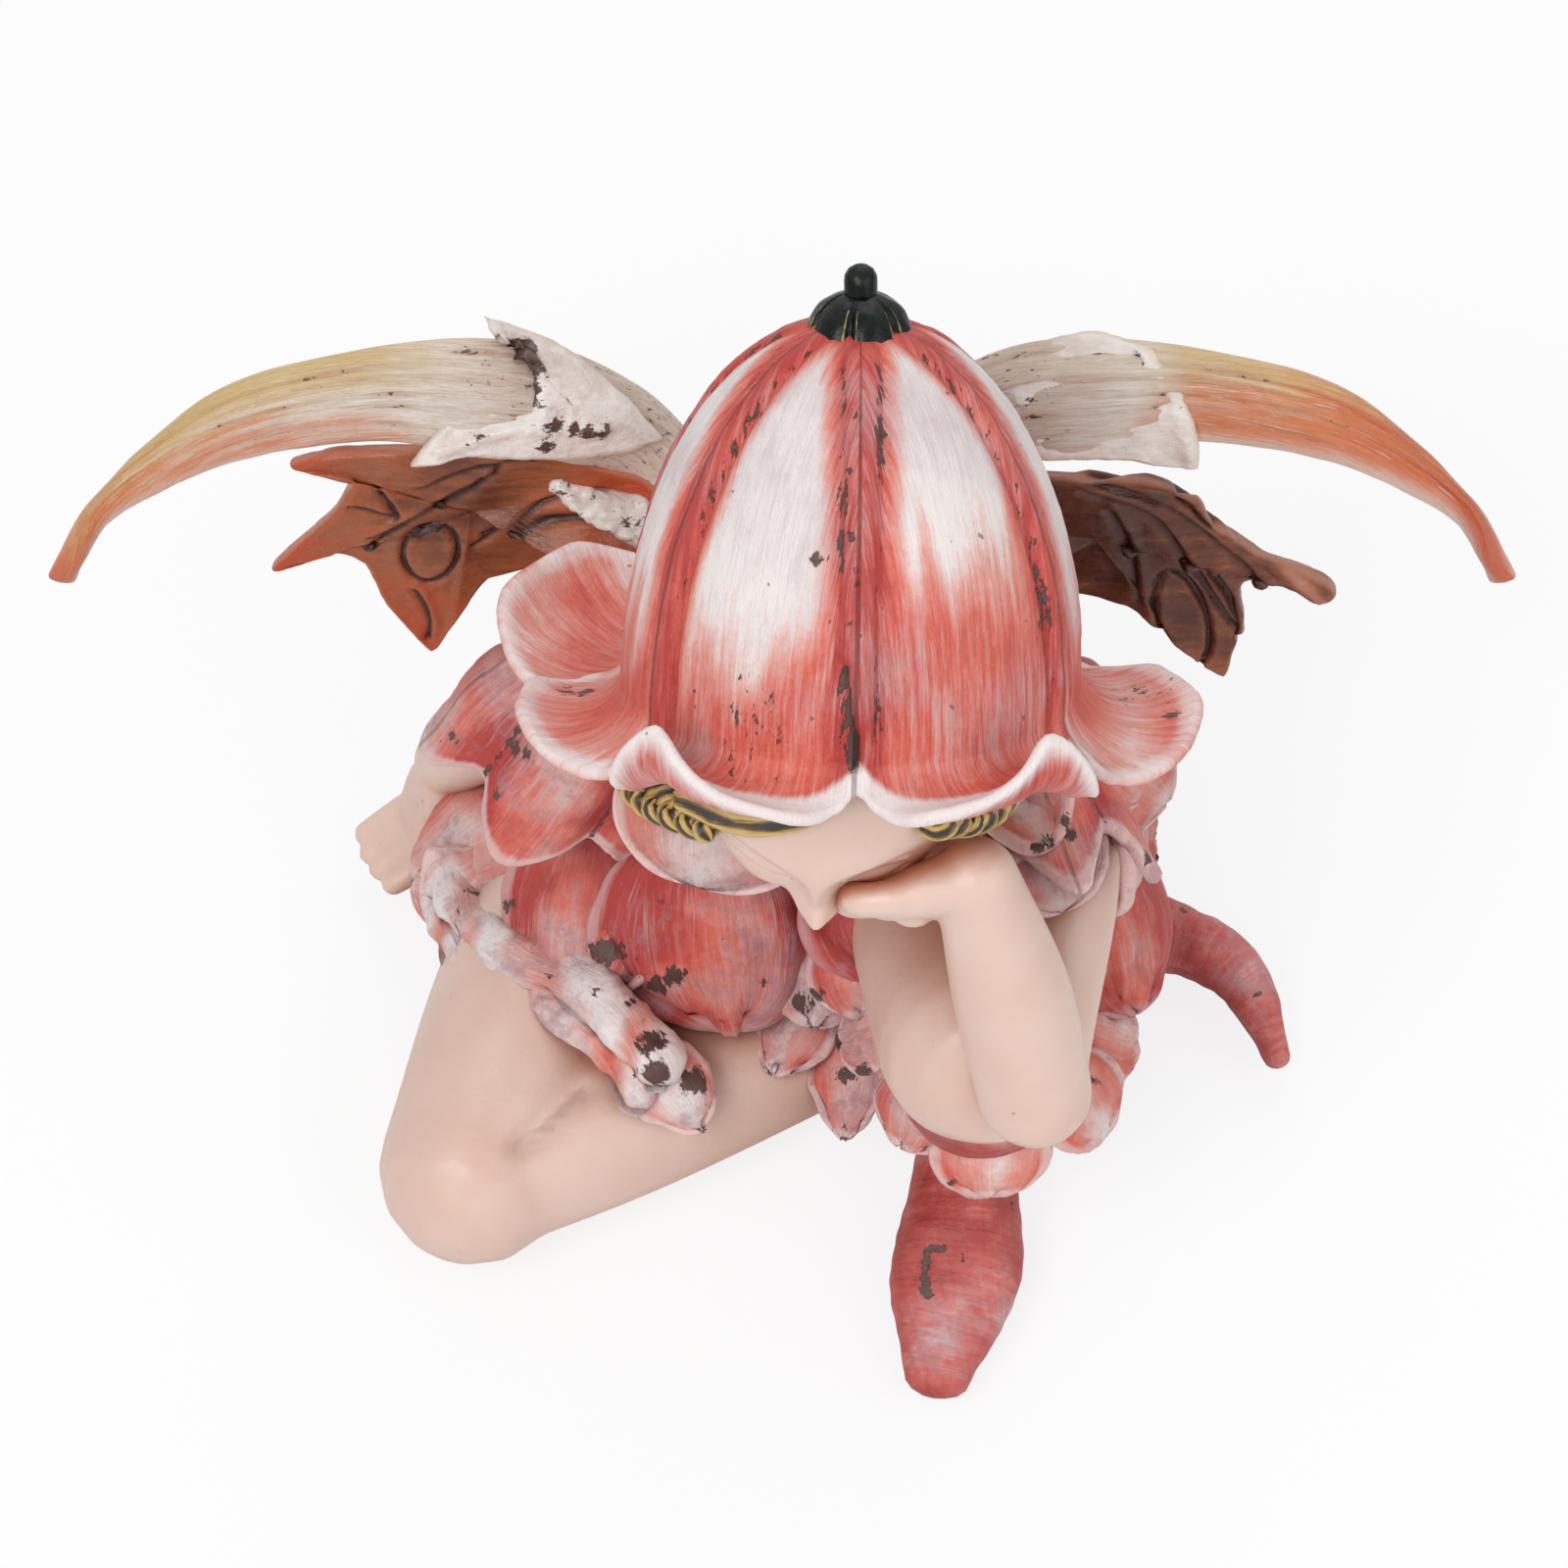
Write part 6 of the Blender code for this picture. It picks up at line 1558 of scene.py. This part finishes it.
def leaf_paint():
    """Pearly white leaf with creamy yellow rims and strings of brown flecks."""
    p = Paint("leaf_paint")
    _, rim, _, worn = p.attribute("mask")
    place = p.place()
    cloud = p.noise(place, 110.0)
    grain = p.noise(place, 1300.0, 3.0, 0.7)
    fine = p.noise(p.stretch(place, (260.0, 900.0, 900.0)), 1.0, 5.0, 0.7)
    colour = p.ramp(p.sum((cloud, 0.7), (fine, 0.45)), *LEAF_STOPS)
    colour = p.over(colour, p.step(p.sum((rim, 0.8), (cloud, 0.5)), 0.72, 1.1), LEAF_RIM, 0.8)
    # painted shade where the leaf lies close over the wing and the body
    colour = p.over(colour, p.step(p.hollow(5.0), 0.3, 0.95), LEAF_UNDER_SHADE, 0.75)
    flecks = p.noise(p.stretch(place, (500.0, 900.0, 1100.0)), 1.0, 6.0, 0.78)
    bare = p.step(p.sum((worn, 0.7), (flecks, 1.0), (cloud, 0.4)), 0.91, 0.95)
    colour = p.over(colour, bare, BROWN)
    height = p.sum((fine, 1.0), (grain, 0.5), (bare, -0.7))
    return p.finish(colour, p.step(grain, 0.2, 0.8, 0.26, 0.44), height, 0.26, coat=0.2)


def hind_wing_paint(name, dark):
    """Glossy bronze brown, red toward the tips, pale on its raised edges."""
    p = Paint(name)
    _, rim, share, carved = p.attribute("mask")
    place = p.place()
    cloud = p.noise(place, 130.0, 5.0, 0.62)
    strokes = p.noise(p.stretch(place, (140.0, 600.0, 900.0)), 1.0, 5.0, 0.65)
    grain = p.noise(place, 1500.0, 3.0, 0.7)
    level = p.sum((share, 0.8 - 0.4 * dark), (cloud, 0.5), (strokes, 0.5))
    colour = p.ramp(p.calc("SUBTRACT", level, 0.3 + 0.12 * dark), *BRONZE_STOPS)
    pink = p.step(p.sum((strokes, 1.0), (cloud, 0.7)), 0.98, 1.15)
    colour = p.over(colour, pink, BRONZE_PINK, 0.45)
    colour = p.over(colour, p.step(carved, 0.2, 0.7), BRONZE_DARK)
    colour = p.over(colour, p.step(p.sum((rim, 1.0), (cloud, 0.3)), 0.90, 1.2), BRONZE_RIM, 0.6)
    height = p.sum((strokes, 1.0), (cloud, 0.8), (grain, 0.25))
    p.shader.inputs["Specular IOR Level"].default_value = 0.3
    return p.finish(colour, p.step(cloud, 0.3, 0.7, 0.22, 0.36), height, 0.25)


def placed(name, data, place=(0, 0, 0), target=None):
    """A new object of the scene, turned toward its target where it has one."""
    thing = bpy.data.objects.new(name, data)
    bpy.context.scene.collection.objects.link(thing)
    if target is not None:
        thing.location = vec(*place) * MM
        aim = Vector(vec(*target) - place)
        thing.rotation_euler = aim.to_track_quat("-Z", "Y").to_euler()
    return thing


def make_piece(name, form, material, voxel=0.0, smooth=0):
    """One visible piece from a form, fused and softened where a voxel size is given."""
    mesh = bpy.data.meshes.new(name)
    faces = [face for group in form.faces for face in group.tolist()]
    mesh.from_pydata((form.verts * MM).tolist(), [], faces)
    for title, values in (("flow", form.flow), ("mask", form.mask)):
        layer = mesh.attributes.new(title, "FLOAT_VECTOR", "POINT")
        layer.data.foreach_set("vector", values.astype(np.float32).ravel())
    piece = placed(name, mesh)
    if voxel:
        fuse = piece.modifiers.new("fuse", "REMESH")
        fuse.mode = "VOXEL"
        fuse.voxel_size = voxel * MM
        fuse.use_smooth_shade = True
        soften = piece.modifiers.new("soften", "SMOOTH")
        soften.factor = 0.5
        soften.iterations = smooth
        graph = bpy.context.evaluated_depsgraph_get()
        made = bpy.data.meshes.new_from_object(piece.evaluated_get(graph))
        # the remesh drops the mask, so each new point takes that of the nearest old one
        tree = KDTree(len(form.verts))
        for i, place in enumerate(form.verts):
            tree.insert(place, i)
        tree.balance()
        layer = made.attributes.get("mask") or made.attributes.new("mask", "FLOAT_VECTOR", "POINT")
        nearest = [tree.find(vert.co / MM)[1] for vert in made.vertices]
        layer.data.foreach_set("vector", form.mask[nearest].astype(np.float32).ravel())
        piece.modifiers.clear()
        piece.data = made
    piece.data.shade_smooth()
    piece.data.materials.clear()
    piece.data.materials.append(material)
    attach(piece, "root")
    return piece


# Voxel size and rounds of smoothing of the fused limbs
ARM_FUSE = (0.54, 4)
LEG_FUSE = (0.74, 3)
# Where the camera sees the lines between the fingers of the right hand
FINGER_LINES = (((425, 822), (378, 840)), ((425, 842), (378, 862)), ((428, 865), (385, 883)))


def build_figure():
    """All visible pieces of the figurine."""
    # streaks, wash, lift, rim share, smoke share, blotch
    hat_finish = petal_paint("hat_paint", 0.7, 0.55, 0.05, 0.95, 0.12)
    dress_finish = petal_paint("dress_paint", 0.20, 0.62, -0.36, 0.3, 0.8, 1.2)
    sleeve_finish = petal_paint("sleeve_paint", 0.30, 0.6, -0.05, 0.5, 0.7, 1.2)
    pale_finish = petal_paint("hem_paint", 0.35, 0.4, 0.14, 0.5, 0.55, 0.8)
    skin_finish = skin_paint()
    leaf_finish = leaf_paint()
    first = make_piece("hat", hat(), hat_finish)
    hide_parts("figurine")
    make_piece("calyx", calyx(), calyx_paint())
    make_piece("head", head(), skin_finish)
    make_piece("hair", hair(), hair_paint())
    make_piece("bodice", torso(), dress_finish)
    make_piece("skirt", skirt(), dress_finish)
    make_piece("back_petals", back_petals(), sleeve_finish)
    make_piece("front_petals", dress_petals(), dress_finish)
    make_piece("hem", hem(), pale_finish)
    make_piece("collar", collar(), pale_finish)
    make_piece("sleeves", sleeves(), sleeve_finish)
    right_arm, upper, lower = arms()
    right_hand, left_hand = hands()
    right_arm = merged([right_arm] + right_hand)
    # The lines between the fingers are pressed in and darkened with painted shade.
    for path in FINGER_LINES:
        right_arm.carve(seen_at(right_arm, *path), 0.5, 0.5, dark=0.4)
    make_piece("right_arm", right_arm, skin_finish, *ARM_FUSE)
    make_piece("left_arm", merged([upper, lower] + left_hand), skin_finish, *ARM_FUSE)
    folded, raised = bare_legs()
    make_piece("folded_leg", folded, skin_finish, *LEG_FUSE)
    make_piece("raised_thigh", raised, skin_finish, *LEG_FUSE)
    make_piece("boots", boots(), boot_paint())
    make_piece("cuffs", cuffs(), sleeve_finish)
    fore = fore_wing(80)
    left_leaf, right_leaf = leaves()
    hind_left, hind_right = hind_wings()
    make_piece("fore_wing_left", fore, fore_wing_paint("fore_wing_paint", 0.08, 0.5))
    make_piece("leaf_wing_left", left_leaf, leaf_finish)
    make_piece("hind_wing_left", hind_left, hind_wing_paint("bronze_paint", 0.0))
    make_piece("fore_wing_right", right_side(fore), fore_wing_paint("burnt_wing_paint", 0.30, 0.95))
    make_piece("leaf_wing_right", right_leaf, leaf_finish)
    make_piece("hind_wing_right", hind_right, hind_wing_paint("dark_bronze_paint", 1.0))
    roots = wing_root()
    make_piece("wing_root_left", roots, leaf_finish)
    make_piece("wing_root_right", right_side(roots), leaf_finish)


def lamp(name, place, size, power):
    """A square studio lamp aimed at the figure."""
    light = bpy.data.lights.new(name, "AREA")
    light.size = size * MM
    light.energy = power
    placed(name, light, place, LAMP_TARGET)


def white_floor():
    """A pale floor that keeps the figure's shadow and is nearly white to the camera."""
    mesh = bpy.data.meshes.new("floor")
    signs = ((-1, -1), (1, -1), (1, 1), (-1, 1))
    corners = [(x * FLOOR_REACH, y * FLOOR_REACH, 0) for x, y in signs]
    mesh.from_pydata(corners, [], [(0, 1, 2, 3)])
    p = Paint("floor_paint")
    p.shader.inputs["Base Color"].default_value = FLOOR_GREY
    p.shader.inputs["Roughness"].default_value = 0.9
    seen = p.calc("MULTIPLY", p.node("LightPath").outputs["Is Camera Ray"], FLOOR_GLOW)
    glow = p.node("Emission", WHITE)
    blend = p.node("MixShader", seen, p.shader.outputs[0], glow.outputs[0])
    put(p.tree, p.tree.nodes["Material Output"].inputs["Surface"], blend.outputs[0])
    mesh.materials.append(p.material)
    floor = placed("floor", mesh)


def white_world():
    """Even light on the figure, and plain white to the camera, in gloss and through glass."""
    world = bpy.data.worlds.new("studio")
    bpy.context.scene.world = world
    world.use_nodes = True
    tree = world.node_tree
    sky = tree.nodes["Background"]
    sky.inputs["Color"].default_value = WHITE
    sky.inputs["Strength"].default_value = SKY_STRENGTH
    plain = add_node(tree, "Background", WHITE, 1.0)
    path = add_node(tree, "LightPath")
    seen = path.outputs["Is Camera Ray"]
    for ray in ("Is Glossy Ray", "Is Transmission Ray"):
        seen = add_node(tree, "Math", seen, path.outputs[ray], operation="MAXIMUM").outputs[0]
    choose = add_node(tree, "MixShader", seen, sky.outputs[0], plain.outputs[0])
    put(tree, tree.nodes["World Output"].inputs["Surface"], choose.outputs[0])


def photo_camera():
    """The camera at the photograph's view."""
    camera = bpy.data.cameras.new("camera")
    camera.lens = CAMERA_LENS
    camera.sensor_width = SENSOR
    camera.clip_start = 0.01
    bpy.context.scene.camera = placed("camera", camera, CAMERA_PLACE, CAMERA_TARGET)


build_figure()
white_floor()
white_world()
for values in LAMPS:
    lamp(*values)
photo_camera()
bpy.context.scene.view_settings.view_transform = "Standard"
